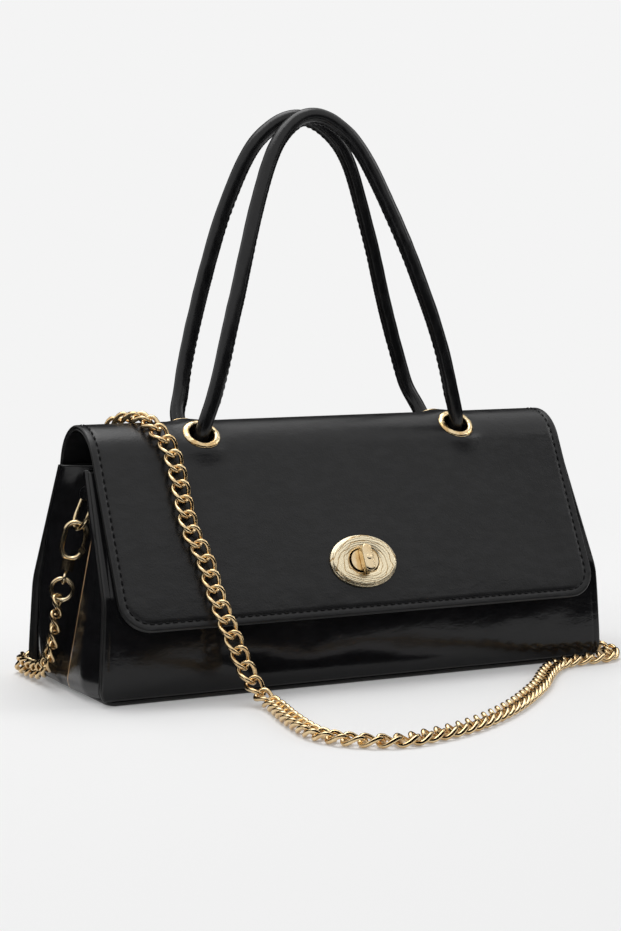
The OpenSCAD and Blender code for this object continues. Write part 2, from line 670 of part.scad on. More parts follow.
// Chain: a curb chain along a route chosen by hand. Each row is a place and the way the link faces
link_a = (link_pitch + link_wire + link_play) / 2;
link_b = (link_width - link_wire) / 2;
first_link = half_ring_foot + hook_up * (ring_z - end_ring_width / 2 - hook_seat
    - (link_a - link_wire / 2 - ring_wire / 2 - gap));
route = concat([[first_link[0], first_link[1], first_link[2], -89, 45, 0]], [
    [-148.6, 0, 34, -95, 25, 0], [-149.4, 2, 24, -100, 8, 5], [-149.6, 7, 15, -100, 0, 5],
    [-149.4, 14.5, 9.5, -100, 0, 8], [-149.4, 24, 6.6, -100, 0, 6], [-149.4, 34, 5.8, -100, 0, 5],
    [-149.2, 43, 5.7, -100, 4, 3], [-148, 51, 5.6, -93, 37, 0], [-144, 57.4, 5.6, -50, 87, 0],
    [-137, 60, 5.7, -12, 99, 0], [-128.5, 59.4, 6.2, 0, 100, 0], [-120.5, 58, 10.5, 0, 100, 0],
    [-115.4, 56.7, 16.7, 0, 100, 0], [-113.2, 55.7, 23.5, 0, 100, 0], [-113, 55.3, 28.5, 0, 100, 0],
    [-113, 55.2, 32.5, 0, 100, 0], [-113, 55.1, 36.5, 0, 100, 2], [-113, 54.9, 40.5, 0, 100, 5],
    [-113, 54.6, 45, 0, 99, 12], [-113.2, 53.7, 49.5, 0, 97, 25], [-113, 50, 60, 0, 90, 43],
    [-112.5, 40.5, 80, 0, 90, 43], [-112, 34, 93, 0, 90, 43], [-112, 30.4, 103, 0, 92, 38],
    [-112, 26.8, 113, 0, 98, 17], [-111.5, 22.1, 124.5, 0, 82, 57], [-109, 13.5, 132.4, 0, 50, 87],
    [-105, 2.4, 135.9, 0, 9, 100], [-101.5, -9.2, 134.4, 0, -34, 94], [-98.5, -19.1, 128.1, 0, -71, 71],
    [-95.5, -24.6, 120.6, 0, -90, 43], [-94.2, -29.6, 110, 0, -90, 43], [-93.9, -34.6, 99.4, 0, -90, 43],
    [-93, -42.4, 83, 0, -90, 43], [-90, -46.6, 74.5, 0, -90, 43], [-87.7, -50.8, 65.6, 0, -90, 43],
    [-86.6, -55.3, 56, 0, -90, 43], [-85, -59.6, 47, 0, -90, 43], [-82.8, -64.2, 37.5, 0, -92, 39],
    [-80.5, -67.6, 29, 0, -95, 31], [-77.8, -70.8, 20, 0, -92, 38], [-75, -75.8, 11, 0, -75, 66],
    [-73, -82.5, 5.6, 0, -40, 92], [-72.2, -91, 3.4, 0, -10, 99], [-74, -103, 3, 0, 0, 100],
    [-77.5, -118, 3, 0, 0, 100], [-81, -138, 3, 0, 0, 100], [-82.5, -153, 3, 0, 0, 100],
    [-81, -164, 3, 0, 0, 100], [-75.5, -174.5, 3, 0, 0, 100], [-66, -183.5, 3, 0, 0, 100],
    [-53, -188, 3, 0, 0, 100], [-38.7, -185, 3, 0, 0, 100], [-23.8, -180.5, 3, 0, 0, 100],
    [-6, -172, 3, 0, 0, 100], [16.7, -157, 3, 0, 0, 100], [39.6, -138, 3, 0, 0, 100],
    [67, -111, 3, 0, 0, 100], [82, -93, 3, 0, 0, 100], [96, -77, 3, 0, 0, 100],
    [107, -67.5, 3, 0, 0, 100], [119, -63, 3, 0, 0, 100], [131, -62, 3, 0, 0, 100],
    [142.5, -60, 3, 0, 0, 100], [150.3, -53, 3.1, 0, 0, 100], [153.3, -43.5, 3.6, 8, 0, 99],
    [153, -33.5, 4.8, 55, 0, 84], [151.6, -23.5, 7, 94, 0, 34], [150.4, -13.5, 12, 100, 0, 6],
    [149.6, -5.5, 20, 100, 0, 5], [149.3, -1, 29, 97, 15, 3], [148.4, 0, 36, 93, 35, 0]
], [[-first_link[0], first_link[1], first_link[2], 89, 45, 0]]);

// Smooth curve through the route, measured along its length
smooth_steps = 4;
function through(a, b, c, d, t) = 0.5 * (2 * b + (c - a) * t + (2 * a - 5 * b + 4 * c - d) * t * t
    + (3 * b - a - 3 * c + d) * t * t * t);
curve_line = concat(
    [for (i = [0:len(route) - 2], k = [0:smooth_steps - 1])
        through(
            route[max(i - 1, 0)], route[i], route[i + 1], route[min(i + 2, len(route) - 1)],
            k / smooth_steps
        )],
    [route[len(route) - 1]]
);
function place(p) = [p[0], p[1], p[2]];
steps = [for (i = [1:len(curve_line) - 1]) norm(place(curve_line[i]) - place(curve_line[i - 1]))];
runs = [for (i = 0, s = 0; i < len(curve_line); s = s + (i < len(steps) ? steps[i] : 0), i = i + 1)
    s];
route_length = runs[len(runs) - 1];
link_gaps = round(route_length / link_pitch);
link_step = route_length / link_gaps;
tables = [for (k = [0:5]) [for (i = [0:len(curve_line) - 1]) [runs[i], curve_line[i][k]]]];
function at_run(s) = [for (k = [0:2]) lookup(s, tables[k])];
function facing_at(s) = [for (k = [3:5]) lookup(s, tables[k])];
function link_frame(i) =
    let(
        s = i * link_step,
        c = at_run(s),
        t = unit(at_run(min(s + link_step / 2, route_length)) - at_run(max(s - link_step / 2, 0))),
        f = facing_at(s),
        n = unit(f - (f * t) * t)
    )
    [c, t, cross(n, t), n];

// One link: a loop of wire bent out of its plane, in rings of five points
link_rings = 10;
link_sides = 5;
function link_centre(a) = [link_a * cos(a), link_b * sin(a), -link_twist * sin(2 * a)];
function link_heading(a) = unit([-link_a * sin(a), link_b * cos(a), -2 * link_twist * cos(2 * a)]);
link_shape = [for (j = [0:link_rings - 1])
    let(a = 360 * j / link_rings, t = link_heading(a), u = unit(cross(t, [0, 0, 1])), v = cross(t, u))
    [for (k = [0:link_sides - 1])
        link_centre(a) + link_wire / 2 * (cos(360 * k / link_sides) * u + sin(360 * k / link_sides) * v)]];
module link(i) {
    f = link_frame(i);
    rings = [for (r = link_shape) [for (p = r) f[0] + p[0] * f[1] + p[1] * f[2] + p[2] * f[3]]];
    skin(rings, closed = true);
}
module links(from, to) color(gold) for (i = [from:1:to - 1]) link(i);

// Rows of the route at which one stretch of the chain ends and the next begins
end_rows = 3;
back_row = 12;
hinge_row = 23;
over_row = 27;
drop_row = 39;
floor_row = 44;
right_row = 66;
function link_at(row) = ceil(runs[row * smooth_steps] / link_step);
module chain_left_end() links(0, link_at(end_rows));
module chain_left() links(link_at(end_rows), link_at(back_row));
module chain_back() links(link_at(back_row), link_at(hinge_row));
module chain_hinge() links(link_at(hinge_row), link_at(over_row));
module chain_over_flap() links(link_at(over_row), link_at(drop_row));
module chain_front_drop() links(link_at(drop_row), link_at(floor_row));
module chain_floor() links(link_at(floor_row), link_at(right_row));
module chain_right() links(link_at(right_row), link_at(len(route) - 1 - end_rows));
module chain_right_end() links(link_at(len(route) - 1 - end_rows), link_gaps + 1);

front_panel();
back_panel();
bottom_panel();
base_board();
gusset_left();
gusset_right();
lining();
front_facing();
back_facing();
back_hinge_strip();
lock_base();
lock_base_washer();
ring_tab_left();
ring_tab_right();
swivel_eye_left();
swivel_eye_right();
end_ring_left();
end_ring_right();
chain_left_end();
chain_left();
chain_back();
chain_hinge();
chain_over_flap();
chain_front_drop();
chain_floor();
chain_right();
chain_right_end();
flap_outer();
flap_lining();
lock_plate();
lock_back_plate();
eyelets();
eyelet_washers();
handle_necks_front();
handle_necks_back();
handle_stops();
lock_knob();
lock_knob_rivet();
d_ring_left();
d_ring_right();
hook_body_left();
hook_body_right();
gate_pin_left();
gate_pin_right();
gate_left();
gate_right();
handle_front_cover();
handle_front_core();
handle_back_cover();
handle_back_core();
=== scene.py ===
# A stiff flap bag in black leather with two arched handles, an oval turn lock and a curb chain. The packed
# model is the frame, and every piece below is fitted to it, in millimetres, and rides on one of its bodies.
import bmesh
import bpy
import numpy as np
from math import ceil, cos, exp, hypot, pi, radians, sin, sqrt, tan, tanh
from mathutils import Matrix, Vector, noise


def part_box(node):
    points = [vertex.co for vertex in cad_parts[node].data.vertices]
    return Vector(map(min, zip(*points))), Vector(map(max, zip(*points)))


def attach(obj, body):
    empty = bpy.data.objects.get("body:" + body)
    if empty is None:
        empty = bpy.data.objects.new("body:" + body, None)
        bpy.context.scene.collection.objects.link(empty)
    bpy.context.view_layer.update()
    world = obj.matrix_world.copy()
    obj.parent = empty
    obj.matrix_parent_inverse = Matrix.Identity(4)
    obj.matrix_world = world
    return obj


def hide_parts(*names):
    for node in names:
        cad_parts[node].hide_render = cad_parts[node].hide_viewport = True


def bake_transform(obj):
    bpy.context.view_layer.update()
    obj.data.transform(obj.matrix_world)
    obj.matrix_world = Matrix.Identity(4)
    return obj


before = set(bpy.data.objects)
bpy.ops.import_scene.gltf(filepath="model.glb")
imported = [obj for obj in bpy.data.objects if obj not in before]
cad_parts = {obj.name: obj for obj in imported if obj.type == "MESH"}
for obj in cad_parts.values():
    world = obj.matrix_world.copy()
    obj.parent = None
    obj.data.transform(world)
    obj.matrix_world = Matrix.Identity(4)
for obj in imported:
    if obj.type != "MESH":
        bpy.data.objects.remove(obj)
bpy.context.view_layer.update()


# Camera: a long lens to the left of the bag's front and a little above it, 1.15 m away, aimed at the
# middle of the bag and its handles.
def placed(name, data):
    made = bpy.data.objects.new(name, data)
    bpy.context.scene.collection.objects.link(made)
    return made


camera = placed("camera", bpy.data.cameras.new("camera"))
camera.data.sensor_width = 36
camera.data.lens = 84.5
camera.location = (-0.5246, -1.0198, 0.2192)
aim = Vector((-0.005, 0, 0.107)) - camera.location
camera.rotation_euler = aim.to_track_quat("-Z", "Y").to_euler()
bpy.context.scene.camera = camera
bpy.context.scene.view_settings.view_transform = "Standard"


# Polished gold plate, used on the chain and on all the hardware: warm, pale and almost a mirror,
# with the faint cloudiness and hairlines that a polishing wheel leaves in plated brass.
class Lead:
    """A node's output that takes part in sums."""

    def __init__(self, board, end):
        self.board, self.end = board, end

    def sum(self, how, *others):
        return self.board.node("ShaderNodeMath", {"operation": how}, dict(enumerate((self, *others))))

    def __add__(self, other):
        return self.sum("ADD", other)

    def __sub__(self, other):
        return self.sum("SUBTRACT", other)

    def __rsub__(self, other):
        return self.board.node("ShaderNodeMath", {"operation": "SUBTRACT"}, {0: other, 1: self})

    def __mul__(self, other):
        return self.sum("MULTIPLY", other)

    def __pow__(self, other):
        return self.sum("POWER", other)

    def limit(self, low, high):
        step = {"interpolation_type": "SMOOTHSTEP"}
        return self.board.node("ShaderNodeMapRange", step, {"Value": self, "From Min": low, "From Max": high})

    __radd__, __rmul__ = __add__, __mul__


class Board:
    """A node tree that nodes are added to by type, settings and sockets."""

    def __init__(self, tree):
        self.tree = tree

    def node(self, kind, settings=(), sockets=(), out=0):
        made = self.tree.nodes.new(kind)
        for name, value in dict(settings).items():
            setattr(made, name, value)
        self.feed(made, sockets)
        return Lead(self, made.outputs[out])

    def feed(self, made, sockets):
        for name, value in dict(sockets).items():
            if isinstance(value, Lead):
                self.tree.links.new(value.end, made.inputs[name])
            else:
                made.inputs[name].default_value = value

    def mix(self, mask, first, second):
        return self.node("ShaderNodeMix", {"data_type": "RGBA"}, {0: mask, 6: first, 7: second}, 2)

    def place(self):
        return self.node("ShaderNodeTexCoord", out="Object")

    def axes(self, place):
        parts = self.tree.nodes.new("ShaderNodeSeparateXYZ")
        self.feed(parts, {0: place})
        return [Lead(self, end) for end in parts.outputs]

    def bump(self, distance, height, strength=0.5, **settings):
        return self.node("ShaderNodeBump", settings,
                         {"Strength": strength, "Distance": distance, "Height": height})

    def coat(self, colour, roughness, normal):
        self.feed(self.shader, {"Base Color": colour, "Roughness": roughness, "Normal": normal})
        return self.material

    def grain(self, place, scale, detail=3.0, stretch=(1, 1, 1)):
        spread = self.node("ShaderNodeMapping", {}, {"Vector": place, "Scale": stretch})
        return self.node("ShaderNodeTexNoise", {}, {"Vector": spread, "Scale": scale, "Detail": detail})


def finish(name, sockets):
    material = bpy.data.materials.new(name)
    material.use_nodes = True
    board = Board(material.node_tree)
    board.material, board.shader = material, material.node_tree.nodes["Principled BSDF"]
    board.feed(board.shader, sockets)
    return board


def gold_plate(name, colour, deep, dents, depth):
    board = finish(name, {"Metallic": 1.0})
    place = board.place()
    cloud = board.grain(place, 160, 4)
    hairs = board.grain(place, 900, 3, (1, 1, 6))
    beaten = board.grain(place, dents, 2)
    tone = board.mix(cloud.limit(0.35, 0.7), colour, deep)
    rough = 0.13 + cloud * 0.1 + hairs * 0.05
    return board.coat(tone, rough, board.bump(depth, beaten + hairs * 0.12))


chain_gold = gold_plate("chain_gold", (0.87, 0.67, 0.39, 1), (0.74, 0.51, 0.26, 1), 260, 0.00010)


# Curb chain: links of round wire bent out of their plane, each lying flat in the next. It is clipped
# to the left side, goes behind the bag and over the flap, and lies in a loop on the floor to the right side.
def rounded_line(rows, steps):
    rows = np.array(rows, float)
    line = []
    for i in range(len(rows) - 1):
        a, b, c, d = rows[max(i - 1, 0)], rows[i], rows[i + 1], rows[min(i + 2, len(rows) - 1)]
        for t in np.arange(steps) / steps:
            line.append(0.5 * (2 * b + (c - a) * t + (2 * a - 5 * b + 4 * c - d) * t * t
                               + (3 * b - a - 3 * c + d) * t * t * t))
    return np.array(line + [rows[-1]])


def run_of(line):
    return np.concatenate([[0], np.cumsum(np.linalg.norm(np.diff(line[:, :3], axis=0), axis=1))])


def on_line(line, runs, s):
    return np.array([np.interp(s, runs, line[:, k]) for k in range(line.shape[1])])


def unit(v):
    return v / np.linalg.norm(v)


chain_rows = [
    [-146.67, 0, 42.85, -89, 45, 0], [-148.6, 0, 34, -95, 25, 0], [-149.4, 2, 24, -100, 8, 5],
    [-149.6, 7, 15, -100, 0, 5], [-149.4, 14.5, 9.5, -100, 0, 8], [-149.4, 24, 6.6, -100, 0, 6],
    [-149.4, 34, 5.8, -100, 0, 5], [-149.2, 43, 5.7, -100, 4, 3], [-148, 51, 5.6, -93, 37, 0],
    [-144, 57.4, 5.6, -50, 87, 0], [-137, 60, 5.7, -12, 99, 0], [-128.5, 59.4, 6.2, 0, 100, 0],
    [-120.5, 58, 10.5, 0, 100, 0], [-115.4, 56.7, 16.7, 0, 100, 0], [-113.2, 55.7, 23.5, 0, 100, 0],
    [-113, 55.3, 28.5, 0, 100, 0], [-113, 55.2, 32.5, 0, 100, 0], [-113, 55.1, 36.5, 0, 100, 2],
    [-113, 54.9, 40.5, 0, 100, 5], [-113, 54.6, 45, 0, 99, 12], [-113.2, 53.7, 49.5, 0, 97, 25],
    [-113, 50, 60, 0, 90, 43], [-112.5, 40.5, 80, 0, 90, 43], [-112, 34, 93, 0, 90, 43],
    [-112, 30.4, 103, 0, 92, 38], [-112, 26.8, 113, 0, 98, 17], [-111.5, 22.1, 124.5, 0, 82, 57],
    [-109, 13.5, 132.4, 0, 50, 87], [-105, 2.4, 135.9, 0, 9, 100], [-101.5, -9.2, 134.4, 0, -34, 94],
    [-98.5, -19.1, 128.1, 0, -71, 71], [-95.5, -24.6, 120.6, 0, -90, 43], [-94.2, -29.6, 110, 0, -90, 43],
    [-93.9, -34.6, 99.4, 0, -90, 43], [-93, -42.4, 83, 0, -90, 43], [-90, -46.6, 74.5, 0, -90, 43],
    [-87.7, -50.8, 65.6, 0, -90, 43], [-86.6, -55.3, 56, 0, -90, 43], [-85, -59.6, 47, 0, -90, 43],
    [-82.8, -64.2, 37.5, 0, -92, 39], [-80.5, -67.6, 29, 0, -95, 31], [-77.8, -70.8, 20, 0, -92, 38],
    [-75, -75.8, 11, 0, -75, 66], [-73, -82.5, 5.6, 0, -40, 92], [-72.2, -91, 3.4, 0, -10, 99],
    *([x, y, 3, 0, 0, 100] for x, y in (
        (-74, -103), (-77.5, -118), (-81, -138), (-82.5, -153), (-81, -164), (-75.5, -174.5), (-66, -183.5),
        (-53, -188), (-38.7, -185), (-23.8, -180.5), (-6, -172), (16.7, -157), (39.6, -138), (67, -111),
        (82, -93), (96, -77), (107, -67.5), (119, -63), (131, -62), (142.5, -60))),
    [150.3, -53, 3.1, 0, 0, 100],
    [153.3, -43.5, 3.6, 8, 0, 99], [153, -33.5, 4.8, 55, 0, 84], [151.6, -23.5, 7, 94, 0, 34],
    [150.4, -13.5, 12, 100, 0, 6], [149.6, -5.5, 20, 100, 0, 5], [149.3, -1, 29, 97, 15, 3],
    [148.4, 0, 36, 93, 35, 0], [146.67, 0, 42.85, 89, 45, 0],
]
row_steps = 4
chain_line = rounded_line(chain_rows, row_steps)
chain_runs = run_of(chain_line)
link_pitch = 8
link_gaps = round(chain_runs[-1] / link_pitch)
link_step = chain_runs[-1] / link_gaps
link_sizes = {"Half length": 5.45, "Half width": 3.95, "Twist": 1.75, "Wire radius": 1.15}


def seat_tree(name, sizes):
    """A tree that takes seats and the sizes of a shape, with a lead from each of its inputs."""
    tree = bpy.data.node_groups.new(name, "GeometryNodeTree")
    tree.interface.new_socket("Seats", in_out="INPUT", socket_type="NodeSocketGeometry")
    for size in sizes:
        tree.interface.new_socket(size, in_out="INPUT", socket_type="NodeSocketFloat")
    tree.interface.new_socket("Solid", in_out="OUTPUT", socket_type="NodeSocketGeometry")
    board = Board(tree)
    entry = tree.nodes.new("NodeGroupInput")
    return board, [Lead(board, entry.outputs[k]) for k in range(len(sizes) + 1)]


def link_tree(material):
    board, (seats, length, width, twist, wire) = seat_tree("curb_links", link_sizes)
    ring = board.node("GeometryNodeCurvePrimitiveCircle", {}, {"Resolution": 22, "Radius": 1.0})
    x, y, _ = board.axes(board.node("GeometryNodeInputPosition"))
    bent = board.node("ShaderNodeCombineXYZ", {}, {0: x * length, 1: y * width, 2: x * y * twist * -2.0})
    ring = board.node("GeometryNodeSetPosition", {}, {"Geometry": ring, "Position": bent})
    section = board.node("GeometryNodeCurvePrimitiveCircle", {}, {"Resolution": 9, "Radius": wire})
    link = board.node("GeometryNodeCurveToMesh", {}, {"Curve": ring, "Profile Curve": section})
    return instances(board, seats, link, material)


def instances(board, seats, shape, material):
    vector = {"data_type": "FLOAT_VECTOR"}
    along = board.node("GeometryNodeInputNamedAttribute", vector, {"Name": "along"})
    facing = board.node("GeometryNodeInputNamedAttribute", vector, {"Name": "facing"})
    turn = board.node("FunctionNodeAxesToRotation", {"primary_axis": "Z", "secondary_axis": "X"},
                      {0: facing, 1: along})
    copies = board.node("GeometryNodeInstanceOnPoints", {},
                        {"Points": seats, "Instance": shape, "Rotation": turn})
    solid = board.node("GeometryNodeRealizeInstances", {}, {"Geometry": copies})
    solid = board.node("GeometryNodeSetShadeSmooth", {}, {"Geometry": solid})
    solid = board.node("GeometryNodeSetMaterial", {}, {"Geometry": solid, "Material": material})
    board.feed(board.tree.nodes.new("NodeGroupOutput"), {0: solid})
    return board.tree


def repeated(name, seats, tree, sizes):
    """One plain mesh of a shape repeated on seats, each a place, the way it runs and the way it faces."""
    mesh = bpy.data.meshes.new(name)
    mesh.from_pydata([[c * 0.001 for c in seat[0]] for seat in seats], [], [])
    for k, word in ((1, "along"), (2, "facing")):
        attribute = mesh.attributes.new(word, "FLOAT_VECTOR", "POINT")
        attribute.data.foreach_set("vector", np.array([seat[k] for seat in seats], np.float32).ravel())
    made = placed(name, mesh)
    modifier = made.modifiers.new("repeat", "NODES")
    modifier.node_group = tree
    for socket in tree.interface.items_tree:
        if socket.in_out == "INPUT" and socket.name in sizes:
            modifier[socket.identifier] = sizes[socket.name] * 0.001
    graph = bpy.context.evaluated_depsgraph_get()
    solid = bpy.data.meshes.new_from_object(made.evaluated_get(graph))
    made.modifiers.clear()
    made.data = solid
    outwards(made)
    return made


def outwards(made):
    shape = bmesh.new()
    shape.from_mesh(made.data)
    bmesh.ops.remove_doubles(shape, verts=shape.verts, dist=1e-7)
    bmesh.ops.recalc_face_normals(shape, faces=shape.faces)
    shape.to_mesh(made.data)
    shape.free()
    made.data.shade_smooth()


def link_seat(i):
    seat = on_line(chain_line, chain_runs, i * link_step)
    ahead = on_line(chain_line, chain_runs, min((i + 0.5) * link_step, chain_runs[-1]))
    behind = on_line(chain_line, chain_runs, max((i - 0.5) * link_step, 0))
    return seat[:3], unit((ahead - behind)[:3]), unit(seat[3:])


def link_at(row):
    return ceil(chain_runs[row * row_steps] / link_step)


curb_links = link_tree(chain_gold)


def links(name, first, last, *nodes):
    made = repeated(name, [link_seat(i) for i in range(first, last)], curb_links, link_sizes)
    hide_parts(*nodes)
    return made


def as_cord(first_row, last_row):
    stretch = chain_line[first_row * row_steps:last_row * row_steps + 1, :3]
    runs = run_of(stretch)
    count = min(40, max(15, last_row - first_row + 1))
    path = [on_line(stretch, runs, s) * 0.001 for s in np.linspace(0, runs[-1], count)]


left_end = links("chain_left_end_links", 0, link_at(3), "chain_left_end")
rear = links("chain_behind", link_at(3), link_at(27), "chain_left", "chain_back", "chain_hinge")
front = links("chain_over_front", link_at(27), link_at(43), "chain_over_flap", "chain_front_drop")
loop = links("chain_floor_loop", link_at(43), link_at(70), "chain_floor", "chain_right")
right_end = links("chain_right_end_links", link_at(70), link_gaps + 1, "chain_right_end")
as_cord(3, 27)
as_cord(27, 43)
as_cord(43, 70)
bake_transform(left_end)
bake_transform(right_end)
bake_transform(rear)
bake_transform(front)
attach(loop, "bag")


# Black leathers: the flap's is satin with fine pores and pulled creases, the body's is the same hide
# with a glossier coat, and the cut edges are painted with a smooth black edge paint.
crest_foot, crest_lean = 0.006, 0.3095


def pores(board, place, scale, smoothness):
    return board.node("ShaderNodeTexVoronoi", {"feature": "SMOOTH_F1"},
                      {"Vector": place, "Scale": scale, "Smoothness": smoothness}, "Distance")


def leather(name, colour, sheen, roughness, spread, pitted, creases, crest_tan=None):
    board = finish(name, {"Specular IOR Level": sheen})
    place = board.place()
    cells = pores(board, place, 1150, 0.6)
    fine = board.grain(place, 1900, 2)
    patches = board.grain(place, 38, 3)
    soft = board.grain(place, 1.0, 4, (120, 190, 200))
    wander = board.grain(place, 1.0, 3, (26, 60, 60))
    ridge = (wander - 0.5).sum("ABSOLUTE").limit(0.0, 0.016)
    lines = (1 - ridge) * board.grain(place, 17, 1).limit(0.5, 0.62)
    height = cells * pitted + soft.limit(0.35, 0.7) * creases - lines * creases * 0.3 + fine * (pitted * 0.5)
    tone = board.mix(soft.limit(0.3, 0.75), tuple(colour) + (1,), tuple(c * 1.5 for c in colour) + (1,))
    # A thin tan line coloured along the gusset's front crest, below 80 mm.
    if crest_tan:
        _, y, z = board.axes(place)
        crest = y + z * crest_lean + (crest_foot + (soft - 0.5) * 0.0005)
        tan_line_mask = (1 - crest.sum("ABSOLUTE").limit(0.0004, 0.0011)) * (1 - z.limit(0.072, 0.080))
        tone = board.mix(tan_line_mask * board.grain(place, 420, 2).limit(0.15, 0.4), tone, crest_tan)
    rough = roughness + (patches - 0.5) * spread + (0.5 - cells) * 0.05
    return board.coat(tone, rough, board.bump(0.00018, height))


# The second colour is the tan of the thin line along the gusset's front crest.
black_hide, tan_line_colour = (0.0045, 0.0045, 0.005), (0.40, 0.25, 0.13, 1)
flap_leather = leather("flap_leather", (0.0080, 0.0080, 0.0085), 0.34, 0.32, 0.16, 0.40, 0.60)
body_leather = leather("body_leather", black_hide, 0.30, 0.14, 0.08, 0.12, 0.30)
# The gusset leather carries the thin tan line along its front crest.
tan_crest_leather = leather("tan_crest_leather", black_hide, 0.42, 0.20, 0.08, 0.12, 0.22, tan_line_colour)
edge_paint = leather("edge_paint", (0.009, 0.009, 0.009), 0.4, 0.33, 0.06, 0.15, 0.05)
hide_and_edge = [body_leather, edge_paint]


# Body panels: one stiff leather panel in front and one behind, bulged low down where the bag is
# fullest and leaning in to the mouth, with turned side edges sewn to the gussets.
def graded(length, step, near):
    middle = np.linspace(near[-1], length - near[-1], max(3, round((length - 2 * near[-1]) / step) + 1))
    return np.array(list(near[:-1]) + list(middle) + [length - d for d in reversed(near[:-1])])


rim_steps = (0, 0.12, 0.35, 0.7, 1.2, 2.0, 2.9, 3.5, 4.0, 4.5, 5.2, 6.5)
edge_rounding = 0.48


def sheet(name, outer, thick, rim, finishes, side, keep=None):
    """A sheet of even thickness from a grid of places on its outer face, with its edges softened."""
    outer = np.array(outer, float)
    normal = np.cross(np.gradient(outer, axis=1), np.gradient(outer, axis=0)) * side
    normal /= np.maximum(np.linalg.norm(normal, axis=2, keepdims=True), 1e-9)
    radius = thick * edge_rounding
    fall = radius - np.sqrt(np.maximum(radius ** 2 - np.maximum(radius - rim, 0) ** 2, 0))
    top = outer - normal * fall[..., None]
    under = outer - normal * (thick - fall)[..., None]
    rows, columns = outer.shape[:2]
    half = rows * columns
    keep = np.ones((rows - 1, columns - 1), bool) if keep is None else keep
    faces, paints = [], []
    for i in range(rows - 1):
        for j in range(columns - 1):
            if not keep[i, j]:
                continue
            a = i * columns + j
            paint = 1 if rim[i:i + 2, j:j + 2].min() < 0.7 * radius else 0
            faces += [(a, a + 1, a + columns + 1, a + columns),
                      (half + a + columns, half + a + columns + 1, half + a + 1, half + a)]
            paints += [paint, paint]
            for free, p, q in ((i == 0 or not keep[i - 1, j], a, a + 1),
                               (i == rows - 2 or not keep[i + 1, j], a + columns + 1, a + columns),
                               (j == 0 or not keep[i, j - 1], a + columns, a),
                               (j == columns - 2 or not keep[i, j + 1], a + 1, a + columns + 1)):
                if free:
                    faces.append((q, p, half + p, half + q))
                    paints.append(1)
    return piece(name, np.concatenate([top.reshape(-1, 3), under.reshape(-1, 3)]), faces, finishes, paints)


def strip(name, long, wide, place, thick, finishes, side=1):
    """A sheet over a length and a width, from a function for the places on its outer face."""
    outer = [[place(w, s) for w in wide] for s in long]
    rim = [[min(w - wide[0], wide[-1] - w, s - long[0], long[-1] - s) for w in wide] for s in long]
    return sheet(name, outer, thick, np.array(rim), finishes, side)


def piece(name, points, faces, finishes, paints=None):
    mesh = bpy.data.meshes.new(name)
    mesh.from_pydata((np.array(points) * 0.001).tolist(), [], faces)
    for material in finishes:
        mesh.materials.append(material)
    if paints is not None:
        mesh.polygons.foreach_set("material_index", np.array(paints, np.int32))
    shape = bmesh.new()
    shape.from_mesh(mesh)
    loose = [v for v in shape.verts if not v.link_faces]
    bmesh.ops.delete(shape, geom=loose, context="VERTS")
    bmesh.ops.recalc_face_normals(shape, faces=shape.faces)
    shape.to_mesh(mesh)
    shape.free()
    mesh.shade_smooth()
    return placed(name, mesh)


def round_off(bend, edge):
    """How far a rounded corner draws in at a distance from its edge."""
    return 0 if edge >= bend else bend - sqrt(max(bend ** 2 - (bend - edge) ** 2, 0))


def fixed(made, body, finish_slot, *nodes):
    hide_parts(*nodes)
    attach(made, body)


def uneven(place, size, amount):
    return amount * noise.noise(Vector(place) / size)


half_base, wall_foot, wall_top = 145, 2.3, 112
panel_thick, seam_inset = 2.2, 4.0
wall_heights = (0, 4.5, 11.2, 20.2, 38.1, 50, wall_top)
wall_depths = (49.7, 51.2, 52, 52, 51.6, 50.97, 21.39)
wall_lean = 0.4771


def wall_y(z):
    """How far a wall stands from the middle of the bag, its bends rounded off over 8 mm."""
    return np.mean([np.interp(min(max(z + d, 1.5), wall_top), wall_heights, wall_depths)
                    - wall_lean * max(z + d - wall_top, 0) for d in (-4, -2.4, -0.8, 0.8, 2.4, 4)])


def half_width(z):
    return half_base - z / 16


def edge_x(z):
    return half_width(max(z, 8)) - round_off(8, z)


def panel(name, side, node, belly):
    def place(w, z):
        across = w / half_base - 1
        x = across * edge_x(z)
        swell = belly * (1 - across ** 4) * exp(-((z - 26) / 20) ** 2)
        edge = min(w, 2 * half_base - w)
        seam = 0.22 * exp(-((edge - seam_inset) / 0.6) ** 2)
        sag = uneven((x, side * 40, z * 1.6), 34, 0.42) + uneven((x, side * 90, z), 13, 0.10)
        return x, side * (wall_y(z) + swell - seam + sag * min(edge / 14, 1)), z

    heights = wall_foot + graded(wall_top - wall_foot, 2.4, rim_steps)
    width = graded(2 * half_base, 3.2, rim_steps)
    made = strip(name, heights, width, place, panel_thick, hide_and_edge, -side)
    fixed(made, "bag", "body_leather", node)


panel("front_panel_leather", -1, "front_panel", 0.7)
panel("back_panel_leather", 1, "back_panel", 0.0)


# Base: a flat sole of the same leather under the panels, with a painted edge that shows as a thin
# dark lip all round, and the stiff board that lies on it inside the bag.
sole_half, sole_depth, sole_bend = 140, 100.4, 6


def on_sole(w, d):
    reach = sole_half - round_off(sole_bend, min(d, sole_depth - d))
    return (w / sole_half - 1) * reach, d - sole_depth / 2, 2.35


sole = strip("base_sole", graded(sole_depth, 3.4, rim_steps[:6]), graded(2 * sole_half, 4, rim_steps[:6]),
             on_sole, 2.3, hide_and_edge)
fixed(sole, "bag", "body_leather", "bottom_panel")


# Gussets: each side is one folded sheet. It is sewn to both panels, swells out to a crest on each
# side and folds deep inwards at the middle; a thin tan line is coloured along the front crest.
def soft_corners(points, reach, steps):
    points = [np.array(p, float) for p in points]
    line = [points[0]]
    for a, b, c in zip(points, points[1:], points[2:]):
        into = unit(b - a) * min(reach, 0.45 * np.linalg.norm(b - a))
        away = unit(c - b) * min(reach, 0.45 * np.linalg.norm(c - b))
        for t in np.linspace(0, 1, steps):
            line.append((1 - t) ** 2 * (b - into) + 2 * t * (1 - t) * b + t ** 2 * (b + away))
    return line + [points[-1]]


